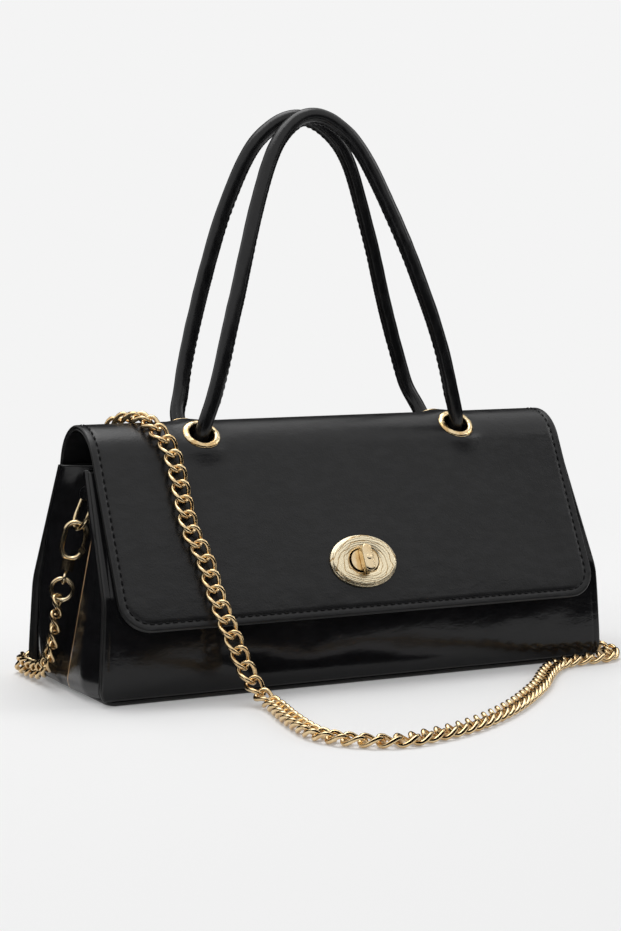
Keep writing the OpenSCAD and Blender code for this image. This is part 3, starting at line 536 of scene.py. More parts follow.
strip_thick, crest_base, crest_gap, crest_end = 1.2, 6, 2.5, 80


def fold_line(z):
    """The gusset's outer face across at a height, as places in from the side and from the middle."""
    strip_y = wall_y(z) - panel_thick - strip_thick
    seam = np.interp(z, (0, crest_end), (crest_base, crest_gap))
    crest_top = wall_y(crest_end) - panel_thick - strip_thick - crest_gap
    crest = crest_base + (crest_top - crest_base) * z / crest_end if z < crest_end else strip_y - crest_gap
    fold, flat = 0.5 + z / 7, 3 + z / 32
    swell = 0.11 * max(strip_y - crest - 3, 0) * sin(pi * min(max(z / 84, 0), 1) ** 0.6)
    middle = (np.array((seam, strip_y)) + np.array((0.5, crest))) / 2 - np.array((swell, 0))
    hollow = (np.array((0.5, crest)) + np.array((fold, flat))) / 2 + np.array((0.05 * fold, -0.3))
    half = [(0.15, strip_y), (seam, strip_y), middle, (0.5, crest), hollow, (fold, flat)]
    return half + [(x, -y) for x, y in reversed(half)]


def gusset(name, hand, node):
    heights = wall_foot + graded(wall_top - wall_foot, 2.6, rim_steps[:5])
    outer, rim = [], []
    for z in heights:
        line = np.array(soft_corners(fold_line(z), 2.2, 5))
        runs = run_of(np.hstack([line, np.zeros((len(line), 1))]))
        row = []
        for x, y in line:
            soft = uneven((hand * 50, y * 1.3, z * 1.5), 17, 0.5) * min(x / 4, 1)
            row.append((hand * (edge_x(z) - x - soft), -y, z))
        outer.append(row)
        ends = np.minimum(runs, runs[-1] - runs)
        rim.append(np.minimum(ends, min(z - wall_foot, wall_top - z)))
    made = sheet(name, outer, 1.3, np.array(rim), [tan_crest_leather, edge_paint], -hand)
    fixed(made, "bag", "body_leather", node)


gusset("gusset_left_leather", -1, "gusset_left")
gusset("gusset_right_leather", 1, "gusset_right")


# Flap: outer leather and lining leather bent together over the top of the bag, sewn round the edge
# and lapped on to the back panel, with a raised painted edge and four eyelets through the roof.
roof_radius, roof_z = 24, 109
flap_lean = radians(25.5)
slope_up, slope_out = np.array((0, 0.4305, 0.9026)), np.array((0, -0.9026, 0.4305))


def roof_line():
    lap = [(28.9, 99.8), (27.4, 103), (26.1, 106), (24.95, 109.4), (24.1, 112.3)]
    turns = np.radians(np.linspace(14, 154.5, 48))
    arc = [(roof_radius * cos(t), roof_z + roof_radius * sin(t)) for t in turns]
    y, z = arc[-1]
    slope = tan(flap_lean)
    straight = [(y - slope * d, z - d) for d in (2, 5, 10, 20, 40, 60, z - 37)]
    line = np.array(lap + arc + straight)
    return np.hstack([line, np.zeros((len(line), 1))])


flap_line = roof_line()
flap_runs = run_of(flap_line)
flap_length = flap_runs[-1]
flap_half, flap_corner = 136.0, 16.0
lock_z = 62
eyelet_lean = radians(40)
eyelet_x = 74.5
eyelet_axes = {side: np.array((0, side * sin(eyelet_lean), cos(eyelet_lean))) for side in (-1, 1)}
eyelet_seats = [(np.array((x, 0, roof_z)) + roof_radius * eyelet_axes[side], eyelet_axes[side])
                for x in (-eyelet_x, eyelet_x) for side in (-1, 1)]
eyelet_reach = 9.7


def flap_edge(x, s):
    """Distance from the flap's edge at a place across and along it."""
    x, q = abs(x), flap_length - s
    if x > flap_half - flap_corner and q < flap_corner:
        return flap_corner - hypot(x - flap_half + flap_corner, flap_corner - q)
    return min(flap_half - x, q, s)


def flap_place(x, s, depth):
    """A place on the flap at a depth below its outer face, which lies flat under the eyelets."""
    y, z, _ = on_line(flap_line, flap_runs, s)
    (y0, z0, _), (y1, z1, _) = (on_line(flap_line, flap_runs, min(max(s + d, 0), flap_length))
                                for d in (-0.8, 0.8))
    out = unit(np.array((0, z1 - z0, y0 - y1)))
    p = np.array((x, y, z)) - depth * out
    for seat, axis in eyelet_seats:
        gap = p - seat
        if np.dot(gap, gap) < 20 ** 2:
            flat = gap - np.dot(gap, axis) * axis
            r = max(np.linalg.norm(flat), 1e-6)
            t = min(max((r - eyelet_reach) / 8.5, 0), 1)
            bent = hypot(flat[1], flat[2]) * min(eyelet_reach / r, 1)
            lift = roof_radius - 0.15 - sqrt(roof_radius ** 2 - bent ** 2)
            p = p + axis * lift * (1 - t * t * (3 - 2 * t))
    return p


def flap_layer(name, depth, thick, inset, first, hole, slot, finishes, soft):
    rows = first + graded(flap_length - first - inset, 2.0, rim_steps)
    width = graded(2 * (flap_half - inset), 2.1, rim_steps)
    outer, rim = [], []
    for s in rows:
        q = flap_length - inset - s
        reach = flap_half - inset - round_off(flap_corner - inset, q)
        row, near = [], []
        for w in width:
            x = (w / (flap_half - inset) - 1) * reach
            edge = min(flap_edge(x, s) - inset, s - first)
            groove = 0.38 * exp(-((edge - seam_inset) / 0.75) ** 2) * (soft > 0)
            p = flap_place(x, s, depth + groove)
            shift = (uneven((x, 7, s * 1.5), 42, soft) + uneven((x * 0.6, 31, s * 2.0), 9, soft * 0.22))
            p = p + np.array((0, -0.9, 0.43)) * shift * min(max(edge, 0) / 12, 1) * (s > 80)
            row.append(p)
            near.append(max(edge, 0))
        outer.append(row)
        rim.append(near)
    outer, rim = np.array(outer), np.array(rim)
    middle = (outer[:-1, :-1] + outer[1:, 1:]) / 2
    keep = np.ones(middle.shape[:2], bool)
    for seat, axis in eyelet_seats:
        gap = middle - seat
        rise = gap @ axis
        r = np.linalg.norm(gap - rise[..., None] * axis, axis=2)
        keep &= ~((r < hole - 0.4) & (abs(rise) < 6))
        gap = outer - seat
        rise = gap @ axis
        flat = gap - rise[..., None] * axis
        r = np.linalg.norm(flat, axis=2)
        used = sum(np.pad(keep * 1, ((a, 1 - a), (b, 1 - b))) for a in (0, 1) for b in (0, 1))
        brink = (used > 0) & (used < 4) & (r < hole + 3) & (abs(rise) < 6)
        round_hole = seat + rise[..., None] * axis + flat / np.maximum(r, 1e-6)[..., None] * hole
        outer = np.where(brink[..., None], round_hole, outer)
    lock_run = flap_length - (lock_z - 37) / cos(flap_lean)
    runs = (rows[:-1] + rows[1:]) / 2
    keep &= ~((abs(middle[..., 0]) < slot[0]) & (abs(runs - lock_run) < slot[1])[:, None])
    return sheet(name, outer, thick, rim, finishes, -1, keep)


flap_finishes = [flap_leather, edge_paint]
outer_flap = flap_layer("flap_outer_leather", 0.0, 1.85, 0.0, 0.0, 7.9, (9.4, 7.2), flap_finishes, 0.22)
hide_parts("flap_outer", "back_hinge_strip")
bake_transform(outer_flap)
inner_flap = flap_layer("flap_lining_leather", 1.95, 0.95, 0.25, 13.5, 7.6, (14.4, 9.4), flap_finishes, 0.0)
fixed(inner_flap, "flap", "lining_leather", "flap_lining")


# Eyelets: four rings of beaten gold plate set through the roof of the flap, each with its barrel turned
# over a washer inside, and a thick leather button that keeps the handle's end from pulling out.
def full_turn(count):
    return [2 * pi * k / count for k in range(count)]


def lofted(loops, closed=False, round_loops=True):
    """Points and faces of a skin over a row of loops, with a cap of one face at each free end."""
    count = len(loops[0])
    points = [p for loop in loops for p in loop]
    faces = []
    for i in range(len(loops) if closed else len(loops) - 1):
        low, high = i * count, ((i + 1) % len(loops)) * count
        faces += [(low + j, low + (j + 1) % count, high + (j + 1) % count, high + j)
                  for j in range(count if round_loops else count - 1)]
    if not closed:
        faces += [tuple(range(count - 1, -1, -1)), tuple(range((len(loops) - 1) * count, len(loops) * count))]
    return points, faces


def turned(profile, seat, axis, sides=56, beaten=0.0, bored=True):
    """Points and faces of a profile turned about an axis, with the dents of a small hammer."""
    across = unit(np.cross(axis, (0.0, 0.2, 1.0)))
    other = np.cross(axis, across)
    loops = []
    for t in full_turn(sides):
        ray = cos(t) * across + sin(t) * other
        dents = [uneven((r * cos(t) + seat[0], r * sin(t) + seat[1] * 3, 5), 1.5, beaten) for r, _ in profile]
        loops.append([seat + r * ray + (h + dent * (h > 0)) * axis for (r, h), dent in zip(profile, dents)])
    return lofted(loops, True, bored)


def together(name, shapes, finishes):
    points, faces = [], []
    for some_points, some_faces in shapes:
        faces += [tuple(len(points) + k for k in face) for face in some_faces]
        points += list(some_points)
    made = piece(name, points, faces, finishes)
    outwards(made)
    return made


def metal(name, body, node, shapes, plating):
    fixed(together(name, shapes, [plating]), body, "gold_metal", node)


bright_gold = gold_plate("bright_gold", (0.90, 0.74, 0.49, 1), (0.80, 0.60, 0.34, 1), 420, 0.00008)
beaten_gold = gold_plate("beaten_gold", (0.90, 0.73, 0.46, 1), (0.62, 0.40, 0.17, 1), 760, 0.00022)
flange = [(6.55, -5.4), (6.5, -0.4), (6.55, 0.35), (6.8, 0.8), (7.2, 1.05), (7.8, 1.12), (8.5, 1.0),
          (9.2, 0.72), (9.7, 0.38), (9.95, 0.02), (9.9, -0.18), (7.2, -0.2), (7.1, -5.4)]
washer = [(7.2, -5.5), (7.2, -4.6), (7.5, -4.4), (8.3, -4.5), (8.7, -4.8), (8.75, -5.3), (8.5, -5.5)]
button = [(0, -6.0), (5.5, -6.0), (7.6, -6.15), (8.3, -6.6), (8.5, -7.4), (8.3, -8.3), (7.6, -8.8),
          (5.0, -8.9), (0, -8.9)]
metal("eyelet_rings", "flap", "eyelets",
      [turned(flange, seat, axis, 72, 0.22) for seat, axis in eyelet_seats], beaten_gold)
metal("eyelet_backs", "flap", "eyelet_washers",
      [turned(washer, seat, axis) for seat, axis in eyelet_seats], bright_gold)
buttons = [turned(button, seat, axis, 40, 0.0, False) for seat, axis in eyelet_seats]
fixed(together("handle_buttons", buttons, [body_leather]), "flap", "lining_leather", "handle_stops")


# Thread: black waxed thread in a running saddle stitch, used on the handles, the flap, the panels and the
# tabs; each stitch is a plump grain of thread sunk a little into the leather.
def waxed_thread():
    board = finish("waxed_thread", {"Specular IOR Level": 0.12})
    lay = board.grain(board.place(), 2600, 2)
    tone = board.mix(lay.limit(0.35, 0.65), (0.003, 0.003, 0.003, 1), (0.010, 0.010, 0.011, 1))
    rough = 0.42 + lay * 0.2
    return board.coat(tone, rough, board.bump(0.0001, lay, 0.6))


stitch_sizes = {"Length": 3.0, "Width": 0.75, "Height": 0.5}


def stitch_tree(material):
    board, (seats, length, width, height) = seat_tree("stitches", stitch_sizes)
    grain = board.node("GeometryNodeMeshUVSphere", {}, {"Segments": 8, "Rings": 5, "Radius": 0.5})
    size = board.node("ShaderNodeCombineXYZ", {}, {0: length, 1: width, 2: height})
    grain = board.node("GeometryNodeTransform", {}, {"Geometry": grain, "Scale": size})
    return instances(board, seats, grain, material)


thread_grains = stitch_tree(waxed_thread())


def stitches(name, seats, body, sizes=stitch_sizes):
    sewn = repeated(name, seats, thread_grains, sizes)
    if body:
        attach(sewn, body)
    return sewn


def spaced_seats(line, pitch, face):
    """Seats for stitches along a line of places, each facing the way that the sheet does there."""
    line = np.array(line, float)
    runs = run_of(line)
    seats = []
    for s in np.arange(pitch / 2, runs[-1], runs[-1] / round(runs[-1] / pitch)):
        back, here, ahead = (on_line(line, runs, min(max(s + d, 0), runs[-1])) for d in (-0.4, 0, 0.4))
        seats.append((here[:3], unit(ahead[:3] - back[:3]), unit(face(here))))
    return seats


# Handles: each is a strip of soft leather sewn round a cord, with the seam standing up along its inner
# side. The ends go down through the eyelets, so the handle folds over just above them.
def handle_leather():
    board = finish("handle_leather", {"Specular IOR Level": 0.36})
    place = board.place()
    cells = pores(board, place, 1300, 0.7)
    pulled = board.grain(place, 150, 5, (2.2, 2.2, 0.7))
    tone = board.mix(pulled.limit(0.3, 0.75), black_hide + (1,), (0.009, 0.009, 0.0095, 1))
    rough = 0.20 + pulled * 0.14 - cells * 0.04
    return board.coat(tone, rough, board.bump(0.0003, pulled.limit(0.3, 0.7) * 0.35 + cells * 0.10))


soft_leather = handle_leather()
arch_rise = (0.108, 0.2, 0.323, 0.446, 0.569, 0.692, 0.815, 0.877, 0.923, 0.963, 0.99, 1)
front_arch = [(0.932, -0.020), (0.879, -0.0235), (0.804, -0.0135), (0.717, 0.004), (0.628, 0.027),
              (0.53, 0.056), (0.419, 0.084), (0.352, 0.098), (0.285, 0.11), (0.195, 0.121), (0.1, 0.129),
              (0, 0.132)]
back_arch = [(0.910, 0.070), (0.863, 0.085), (0.790, 0.0935), (0.718, 0.094), (0.644, 0.088),
             (0.557, 0.083), (0.454, 0.067), (0.388, 0.06), (0.315, 0.057), (0.215, 0.055), (0.11, 0.053),
             (0, 0.053)]
handle_radius, arch_height, handle_step = 4.0, 163, 1.9


def handle_line(side, arch):
    foot = np.array((0, side * 15.43, 127.385))
    axis = eyelet_axes[side]
    half = [foot + np.array((w * eyelet_x, y * arch_height, z * arch_height))
            for z, (w, y) in zip(arch_rise, arch)]
    seat = foot + np.array((eyelet_x, 0, 0))
    if side > 0:
        seat[0] -= 1.6
    above = seat + (np.array((-0.8, 6.5, 7.6)) if side > 0 else 2.0 * axis)
    neck = [seat - 6.3 * axis, seat - 2.1 * axis, above, 0.45 * above + 0.55 * half[0]]
    right = neck + half
    left = [p * np.array((-1, 1, 1)) for p in reversed(right[:-1])]
    line = rounded_line(right + left, 6)
    runs = run_of(line)
    places = np.linspace(0, runs[-1], round(runs[-1] / handle_step))
    line = np.array([on_line(line, runs, s) for s in places])
    for _ in range(10):
        line[3:-3] = (line[2:-4] + line[3:-3] * 2 + line[4:-2]) / 4
    return line


def handle_frames(line):
    middle = np.array((0, np.mean(line[:, 1]), 168))
    for i, p in enumerate(line):
        run = unit(line[min(i + 1, len(line) - 1)] - line[max(i - 1, 0)])
        inner = np.array((middle[0], p[1], middle[2])) - p
        inner = unit(inner - np.dot(inner, run) * run)
        yield p, run, inner, np.cross(run, inner)


def handle(name, side, arch, nodes):
    line = handle_line(side, arch)
    around = [0, 0.09, 0.17, 0.27, 0.4, 0.58, 0.8, 1.05, 1.35, 1.7, 2.05, 2.4, 2.78]
    around = around + [pi] + [2 * pi - t for t in reversed(around[1:])]
    loops, seams = [], []
    for i, (p, run, inner, flank) in enumerate(handle_frames(line)):
        loops.append([])
        s = i * handle_step
        open_seam = min(max((min(i, len(line) - 1 - i) - 8) / 5, 0), 1)
        for t in around:
            off = min(t, 2 * pi - t)
            fin = (0.55 + 0.24 * cos(2 * pi * s / 4)) * exp(-(off / 0.16) ** 4)
            dip = 0.28 * exp(-((off - 0.36) / 0.13) ** 2)
            soft = uneven((p[0] + 9 * cos(t), p[1] + 9 * sin(t), p[2] * 0.8), 7, 0.16)
            r = handle_radius - 0.1 + (fin - dip) * open_seam + soft
            loops[-1].append(p + r * (cos(t) * inner + sin(t) * flank))
        seams.append((p + (handle_radius + 0.12) * inner, run, flank))
    made = together(name, [lofted(loops)], [soft_leather])
    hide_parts(*nodes)
    dashes = []
    for place, run, flank in seams[13:-13:2]:
        dashes += [(place + flank * hand * 0.62, run, flank * hand) for hand in (-1, 1)]
    dash_sizes = {"Length": 2.6, "Width": 0.55, "Height": 0.36}
    sewn = stitches(name + "_stitches", dashes, None, dash_sizes)
    for part in (made, sewn):
        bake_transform(part)


handle("handle_front_leather", -1, front_arch,
       ["handle_front_cover", "handle_front_core", "handle_necks_front"])
handle("handle_back_leather", 1, back_arch,
       ["handle_back_cover", "handle_back_core", "handle_necks_back"])


# Seams of the flap: a row of stitches 4 mm in from the edge and round both corners, and one along the lap
# where the flap is sewn on to the back panel.
def flap_normal(place):
    y, z = place[1], place[2] - roof_z
    if z * cos(flap_lean) > y * sin(flap_lean) and y > -roof_radius and z > 0:
        return np.array((0, y, z))
    if y > 20:
        return np.array((0, 1, 0.35))
    return slope_out


stitch_pitch = 4.0
bend = flap_corner - seam_inset
sides = [(flap_half - seam_inset, s) for s in np.arange(6, flap_length - flap_corner, 1.5)]
corner = [(flap_half - flap_corner + bend * cos(t), flap_length - flap_corner + bend * sin(t))
          for t in np.linspace(0, pi / 2, 12)]
hem = sides + corner
hem = hem + [(-x, s) for x, s in reversed(hem)]
hem = [flap_place(x, s, -0.02) for x, s in hem]
hem_seats = spaced_seats(hem, stitch_pitch, flap_normal)
hem_sewn = stitches("flap_hem_stitches", hem_seats, None)
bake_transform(hem_sewn)
lap_line = [flap_place(x, 3.5, -0.02) for x in np.arange(-flap_half + 6, flap_half - 5, 2)]
stitches("flap_lap_stitches", spaced_seats(lap_line, stitch_pitch, flap_normal), "bag")


# Turn lock: an oval plate of pale gold, engraved in uneven rings like sawn wood, with a rounded opening.
# A round-ended block on the bag comes up through it and carries a thick bevelled bar that turns.
def on_slope(x, up, out):
    """A place on the leaning front, across and up from the middle of the lock and out from the leather."""
    return np.array((x, -49.01, lock_z)) + up * slope_up + out * slope_out


def engraved_gold():
    board = finish("engraved_gold", {"Metallic": 1.0})
    place = board.place()
    swirl = board.grain(place, 70, 2) - 0.5
    x, _, z = board.axes(place)
    x, z = x * 52.6, (z - 0.062) * 79.1
    ring = ((x * x + z * z) ** 0.5 + swirl * 0.62) * 41.0
    cut = ring.sum("SINE").limit(0.80, 0.99)
    hairs = board.grain(place, 1400, 2)
    tone = board.mix(cut, (0.98, 0.85, 0.60, 1), (0.52, 0.34, 0.15, 1))
    rough = 0.24 + hairs * 0.08 + cut * 0.16
    return board.coat(tone, rough, board.bump(0.00012, cut + hairs * 0.04, invert=True))


plate_gold = engraved_gold()
turns = full_turn(128)
plate_rim = [(0, 0.02), (0, 0.55), (0.1, 0.95), (0.4, 1.25), (0.9, 1.36), (1.1, 1.5), (1.22, 2.05),
             (1.5, 2.3), (2.0, 2.4)]
slot_lip = [(6.75, 2.0), (6.5, 1.85), (6.35, 1.5), (6.33, 0.02)]


def opening(t, wide, out):
    return on_slope(2.15 * tanh(3.5 * cos(t)) + wide * cos(t), wide * sin(t), out)


plate_loops = [[on_slope((19 - d) * cos(t), (14 - d) * sin(t), h) for t in turns]
               for d, h in plate_rim]
for k in range(1, 30):
    share = k / 30
    loop = []
    for t in turns:
        far, near = on_slope(17 * cos(t), 12 * sin(t), 0), opening(t, 6.75, 0)
        spot = far + (near - far) * share
        rings = sin(2 * pi * (share * 4.6 + 0.45 * noise.noise(Vector(spot * 0.16))))
        height = 2.4 - 0.07 * max(rings, 0) ** 2 - 0.35 * share ** 3
        loop.append(spot + slope_out * height)
    plate_loops.append(loop)
plate_loops += [[opening(t, w, h) for t in turns] for w, h in slot_lip]
metal("lock_oval", "flap", "lock_plate", [lofted(plate_loops, True)], plate_gold)


bar_reach = 4.5


def bar_loop(wide, out):
    return [on_slope(wide * cos(t), bar_reach * tanh(5 * sin(t)) + wide * sin(t), out) for t in full_turn(64)]


bar = [(2.2, 2.87), (2.75, 2.9), (2.95, 3.1), (3.0, 3.5), (3.0, 6.2), (2.95, 6.75), (2.75, 7.15), (2.4, 7.45),
       (1.9, 7.6), (1.2, 7.64), (0.5, 7.65)]
spindle = [(0, -1.2), (1.8, -1.2), (1.98, -1.0), (1.98, 3.2), (0, 3.2)]
rivet = [(0, 7.4), (1.3, 7.5), (1.45, 7.62), (1.25, 7.74), (0.6, 7.8), (0, 7.81)]
bar_shapes = [lofted([bar_loop(r, h) for r, h in bar]),
              turned(spindle, on_slope(0, 0, 0), slope_out, 32, 0, False)]
metal("lock_bar", "lock_knob", "lock_knob", bar_shapes, bright_gold)
metal("lock_bar_rivet", "lock_knob", "lock_knob_rivet",
      [turned(rivet, on_slope(0, 0, 0), slope_out, 32, 0, False)], bright_gold)


# Hooks, rings and small plates: cast snap hooks with pinned gates, bent half rings and round rings. The
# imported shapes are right, so the cast parts are smooth copies of them and the wire parts are bent anew.
def polished(name, body, *nodes):
    shape = bmesh.new()
    for node in nodes:
        shape.from_mesh(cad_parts[node].data)
    bmesh.ops.remove_doubles(shape, verts=shape.verts, dist=2e-6)
    bmesh.ops.dissolve_degenerate(shape, edges=shape.edges, dist=1e-6)
    for face in shape.faces:
        face.smooth = True
        face.material_index = 0
    for edge in shape.edges:
        edge.smooth = len(edge.link_faces) == 2 and edge.calc_face_angle(0) < radians(38)
    mesh = bpy.data.meshes.new(name)
    shape.to_mesh(mesh)
    shape.free()
    mesh.materials.clear()
    mesh.materials.append(bright_gold)
    fixed(placed(name, mesh), body, "gold_metal", *nodes)


ring_wire = 1.1


def bent_wire(line, aside):
    loops = []
    for i, p in enumerate(line):
        run = unit(line[(i + 1) % len(line)] - line[i - 1])
        across = unit(np.cross(run, aside))
        other = np.cross(run, across)
        loops.append([p + ring_wire * (cos(t) * across + sin(t) * other) for t in full_turn(18)])
    return lofted(loops, True)


def hung(hand, place):
    """A place on the right side's hardware, from the same place on the left side's."""
    return np.array((place[0] * -hand, place[1], place[2]))


ring_lean, hook_lean, ring_twist = radians(24), radians(15.2), radians(-27)
bar_at = np.array((-128.79, 0, 97.865))
down = np.array((-sin(ring_lean), 0, -cos(ring_lean)))
up = np.array((sin(hook_lean), 0, cos(hook_lean)))
out = np.array((cos(hook_lean), 0, -sin(hook_lean)))
sideways = np.array((0, 1.0, 0))
legs = [(-8, d) for d in (8, 5, 3)]
legs += [(1.7 * (1 - cos(t)) - 8, 1.7 * (1 - sin(t))) for t in (0, 0.4, 0.8, 1.2, 1.57)]
half_ring = [(8 * cos(t), 10.5 + 8 * sin(t)) for t in np.linspace(0, pi, 33)]
half_ring += legs + [(-3, 0), (0, 0), (3, 0)] + [(-y, d) for y, d in reversed(legs)]
half_ring = [bar_at + y * sideways + d * down for y, d in half_ring]
flat = cos(ring_twist) * out + sin(ring_twist) * sideways
face = -sin(ring_twist) * out + cos(ring_twist) * sideways
circle_at = bar_at + 18.5 * down - (16.4 + 14.65) * up
round_ring = [circle_at + 5.4 * sin(t) * up + 5.4 * cos(t) * flat
              for t in full_turn(48)]
for hand, word in ((-1, "left"), (1, "right")):
    body = "d_ring_" + word
    across = np.cross(hung(hand, down), sideways)
    for name, node, line, aside in (("half_ring_", "d_ring_", half_ring, across),
                                    ("round_ring_", "end_ring_", round_ring, hung(hand, face))):
        wire = bent_wire([hung(hand, p) for p in line], aside)
        metal(name + word, body, node + word, [wire], bright_gold)
    polished("swivel_" + word, body, "swivel_eye_" + word)
    polished("snap_hook_" + word, "hook_" + word, "hook_body_" + word)
    polished("snap_hook_pin_" + word, "hook_" + word, "gate_pin_" + word)
    polished("snap_gate_" + word, "gate_" + word, "gate_" + word)
polished("lock_block", "bag", "lock_base")
polished("lock_block_plate", "bag", "lock_base_washer")
polished("lock_oval_back", "flap", "lock_back_plate")


# Ring tabs: a short strap at the head of each side fold, turned round the straight bar of the half ring
# and sewn down through both of its leaves.
tab_lean, tab_width, sewn_at = radians(11.605), 11, 3.02
wall_at = np.array((-124.58, 0, 97.0))
away = np.array((-cos(tab_lean), 0, sin(tab_lean)))
rise = np.array((sin(tab_lean), 0, cos(tab_lean)))
eye = [(4.3 + 2.72 * cos(t), 2.72 * sin(t)) for t in np.radians(np.linspace(70, -130, 22))]
strap = [(2.9, 8.7), (2.95, 7.6), (3.25, 6), (3.9, 4.2)] + eye + [(1.45, -0.9), (1.32, 0.8)]
strap += [(1.3, b) for b in (2.5, 4.5, 6.5, 8.5, 10, 10.9)]
strap = np.array([(a, b, 0) for a, b in strap], float)
strap_runs = run_of(strap)
along = graded(strap_runs[-1], 0.7, (0, 0.2, 0.5, 0.9))
wide = graded(tab_width, 0.9, (0, 0.15, 0.4, 0.8))


def on_tab(hand, out, up, across):
    return hung(hand, wall_at + out * away + up * rise + across * sideways)


for hand, word in ((-1, "left"), (1, "right")):
    def on_strap(w, s):
        return on_tab(hand, *on_line(strap, strap_runs, s)[:2], w - tab_width / 2)

    tab = strip("ring_strap_" + word, along, wide, on_strap, 1.28, hide_and_edge, hand)
    fixed(tab, "bag", "body_leather", "ring_tab_" + word)
    seats = [(on_tab(hand, sewn_at, b, y), hung(hand, rise), hung(hand, away))
             for y in (-4.0, 4.0) for b in (6.4, 8.0)]
    seats += [(on_tab(hand, sewn_at, 8.0, y), sideways, hung(hand, away)) for y in (-2.2, 0, 2.2)]
    stitches("ring_strap_stitches_" + word, seats, "bag",
             {"Length": 1.5, "Width": 0.55, "Height": 0.4})


# Inside: an open sack of black twill hangs in the bag between two leather facings round the mouth, over
# a stiff board.
def twill(name, light, dark):
    board = finish(name, {"Specular IOR Level": 0.2})
    place = board.place()
    ribs = board.node("ShaderNodeTexWave", {"bands_direction": "DIAGONAL"},
                      {"Vector": place, "Scale": 420, "Distortion": 0.6, "Detail": 1.0}, 1)
    slubs = board.grain(place, 300, 3, (1, 1, 0.3))
    tone = board.mix(ribs * 0.6 + slubs * 0.4, dark, light)
    rough = 0.75 + slubs * 0.2
    return board.coat(tone, rough, board.bump(0.00025, ribs + slubs * 0.5, 0.7))


lining_twill = twill("lining_twill", (0.022, 0.021, 0.021, 1), (0.006, 0.006, 0.006, 1))
board_card = twill("board_card", (0.30, 0.24, 0.16, 1), (0.20, 0.155, 0.10, 1))


sack_foot, sack_wall = 4.2, 0.6


def sack_loop(z, inset, share=1.0):
    half_x = np.interp(z, (sack_foot, wall_top), (134.0, 119.4)) - inset
    half_y = wall_y(max(z, 6)) - 4.0 - inset
    corner = min(14, half_y - 1)
    loop = []
    for t in full_turn(144):
        c, s = cos(t), sin(t)
        x = (half_x - corner) * tanh(9 * c) / tanh(9) * min(1, abs(c) * 1.25) + corner * c
        y = (half_y - corner) * tanh(4 * s) / tanh(4) + corner * s
        ease = 0.9 * (1 + uneven((x, y, z * 0.6), 21, 1.0))
        ease *= min((z - sack_foot) / 12, 1) * min((wall_top - 1 - z) / 10, 1)
        loop.append(np.array((x * share - c * ease * 0.7, y * share - s * ease, z)))
    return loop


heights = [109.9, 109, 106, 100, 92, 84, 76, 68, 60, 52, 44, 36, 28, 20, 14, 9, 6, 4.9]
shares = (0.02, 0.3, 0.6, 0.85, 0.985)
sack = [sack_loop(4.35, 0, share) for share in shares]
sack += [sack_loop(z, 0) for z in reversed(heights)]
sack += [sack_loop(z, sack_wall) for z in heights]
sack += [sack_loop(5.0, sack_wall, share) for share in reversed(shares)]
fixed(together("lining_sack", [lofted(sack)], [lining_twill]), "bag", "lining_leather", "lining")
facing_half, facing_foot = 132.6, 92
for side, word in ((-1, "front"), (1, "back")):
    heights = facing_foot + graded(wall_top - facing_foot, 1.6, (0, 0.15, 0.4, 0.8))
    wide = graded(2 * facing_half, 4, (0, 0.2, 0.5, 1.0))

    def on_facing(w, z):
        return w - facing_half, side * (wall_y(z) - 2.35), z

    band = strip(word + "_mouth_facing", heights, wide, on_facing, 0.95, hide_and_edge, -side)
    fixed(band, "bag", "lining_leather", word + "_facing")
    line = [(x, side * (wall_y(109) - 3.3), 109) for x in np.arange(-128, 129, 4)]
    seats = spaced_seats(line, stitch_pitch, lambda p: np.array((0, -side, -0.45)))
    stitches(word + "_mouth_stitches", seats, "bag")
stiff_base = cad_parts["base_board"]
if not stiff_base.material_slots:
    stiff_base.data.materials.append(board_card)
for place in stiff_base.material_slots:
    place.material = board_card


# Floor and light: a pale sweep that keeps the bag's shadow, and soft lamps above, behind and at both
# sides, with dark cards round the bag that only show in the gloss, as on a studio table.
def bare_paint(name):
    paint = bpy.data.materials.new(name)
    paint.use_nodes = True
    paint.node_tree.nodes.remove(paint.node_tree.nodes["Principled BSDF"])
    return paint, Board(paint.node_tree), paint.node_tree.nodes["Material Output"]


def stage_sheet(name, corners, paint):
    mesh = bpy.data.meshes.new(name)
    mesh.from_pydata(corners, [], [(0, 1, 2, 3)])
    mesh.materials.append(paint)
    made = placed(name, mesh)
    return made


def background_rays(board):
    """1 for the rays that show the pale background: the camera's, and those off gloss or through glass."""
    rays = board.tree.nodes.new("ShaderNodeLightPath")
    seen = [Lead(board, rays.outputs["Is " + kind + " Ray"]) for kind in ("Camera", "Glossy", "Transmission")]
    return (seen[0] + seen[1] + seen[2]).limit(0, 1)


pale = (0.905, 0.905, 0.905, 1)
floor_paint, board, end = bare_paint("floor_paint")
far = board.node("ShaderNodeVectorMath", {"operation": "LENGTH"}, {0: board.place()}, "Value")
plain = board.node("ShaderNodeBsdfDiffuse", {}, {"Color": (0.88, 0.88, 0.88, 1)}, "BSDF")
glow = board.node("ShaderNodeEmission", {}, {"Color": pale, "Strength": 1.0}, "Emission")
share = background_rays(board) * (0.15 + 0.85 * far.limit(0.22, 0.9))
board.feed(end, {"Surface": board.node("ShaderNodeMixShader", {}, {0: share, 1: plain, 2: glow})})
floor = stage_sheet("floor", [(-9, -9, 0), (9, -9, 0), (9, 9, 0), (-9, 9, 0)], floor_paint)
floor.location.z = min(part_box(n)[0].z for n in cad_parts) - 0.0001

world = bpy.data.worlds.new("studio")
world.use_nodes = True
bpy.context.scene.world = world
sky = Board(world.node_tree)
room = sky.node("ShaderNodeBackground", {}, {"Color": (1, 1, 1, 1), "Strength": 0.42})
paper = sky.node("ShaderNodeBackground", {}, {"Color": pale, "Strength": 1.0})
sky.feed(world.node_tree.nodes["World Output"],
         {"Surface": sky.node("ShaderNodeMixShader", {}, {0: background_rays(sky), 1: room, 2: paper})})


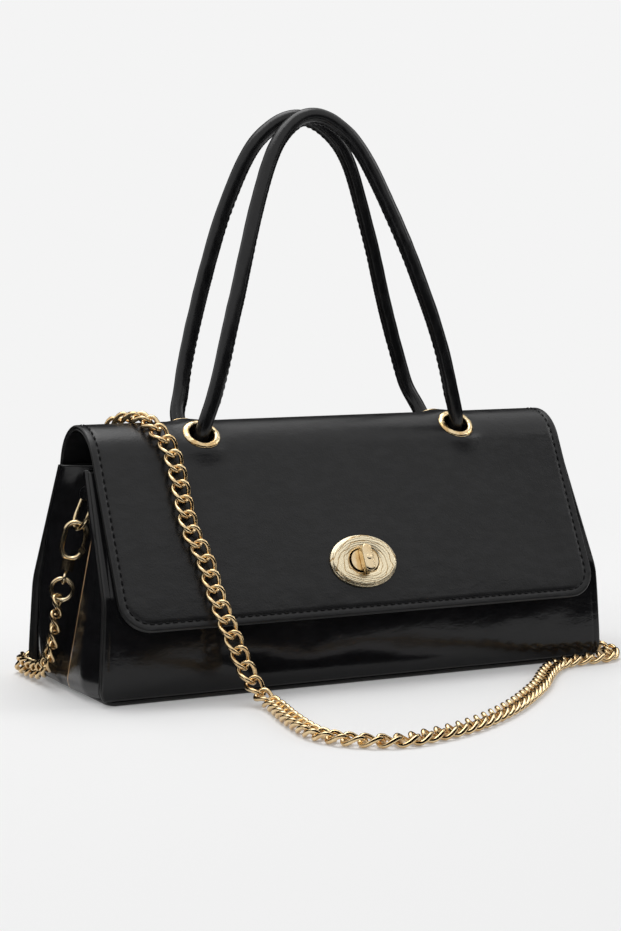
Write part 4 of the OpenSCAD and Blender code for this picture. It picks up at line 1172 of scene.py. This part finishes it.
def lamp(name, place, size, strength, glossy=True):
    light = bpy.data.lights.new(name, "AREA")
    light.shape = "RECTANGLE"
    light.size, light.size_y = size
    light.energy = strength
    made = placed(name, light)
    made.location = place
    made.rotation_euler = (Vector((0, 0, 0.06)) - Vector(place)).to_track_quat("-Z", "Y").to_euler()
    made.visible_glossy = glossy


lamp("soft_above", (-0.1, 0.35, 1.7), (1.5, 1.1), 14)
lamp("soft_left", (-1.5, -0.9, 1.0), (0.9, 1.2), 6, False)
lamp("soft_right", (1.6, -0.5, 0.9), (0.8, 1.0), 5)
lamp("soft_behind", (0.1, 0.7, 1.5), (0.8, 0.6), 4, False)


def dark_card(name, corners):
    """A black card on the studio floor that only the gloss of the bag shows."""
    card = stage_sheet("card_" + name, corners, card_black)
    card.visible_camera = card.visible_diffuse = card.visible_shadow = card.visible_transmission = False


card_black, board, end = bare_paint("card_black")
matt = board.node("ShaderNodeBsdfDiffuse", {}, {"Color": (0.004, 0.004, 0.004, 1)}, "BSDF")
board.feed(end, {"Surface": matt})
for name, edge in (("near_front", (-0.34, -0.2, 0.8, -0.2, 0.15)), ("front", (-1.0, -0.62, 1.6, -0.62, 0.42)),
                   ("left", (-0.36, -0.175, -0.36, 0.7, 0.17)), ("right", (0.75, -0.2, 0.7, 0.6, 0.5)),
                   ("behind", (-0.3, 0.75, 1.6, 0.75, 0.85)),
                   ("near_behind", (-0.36, 0.16, 0.1, 0.16, 0.17))):
    x0, y0, x1, y1, tall = edge
    dark_card(name, [(x0, y0, 0), (x1, y1, 0), (x1, y1, tall), (x0, y0, tall)])
for name, corners in (("beside", [(-0.40, -0.08), (-0.168, -0.08), (-0.168, 0.30), (-0.40, 0.30)]),
                      ("before", [(-0.055, -0.148), (-0.02, -0.138), (0.06, -0.072), (-0.055, -0.072)])):
    dark_card("flat_" + name, [(x, y, 0.0004) for x, y in corners])
dark_card("high", [(0.36, -0.30, 0.30), (0.95, -0.30, 0.30), (0.95, -0.42, 0.62), (0.36, -0.42, 0.62)])
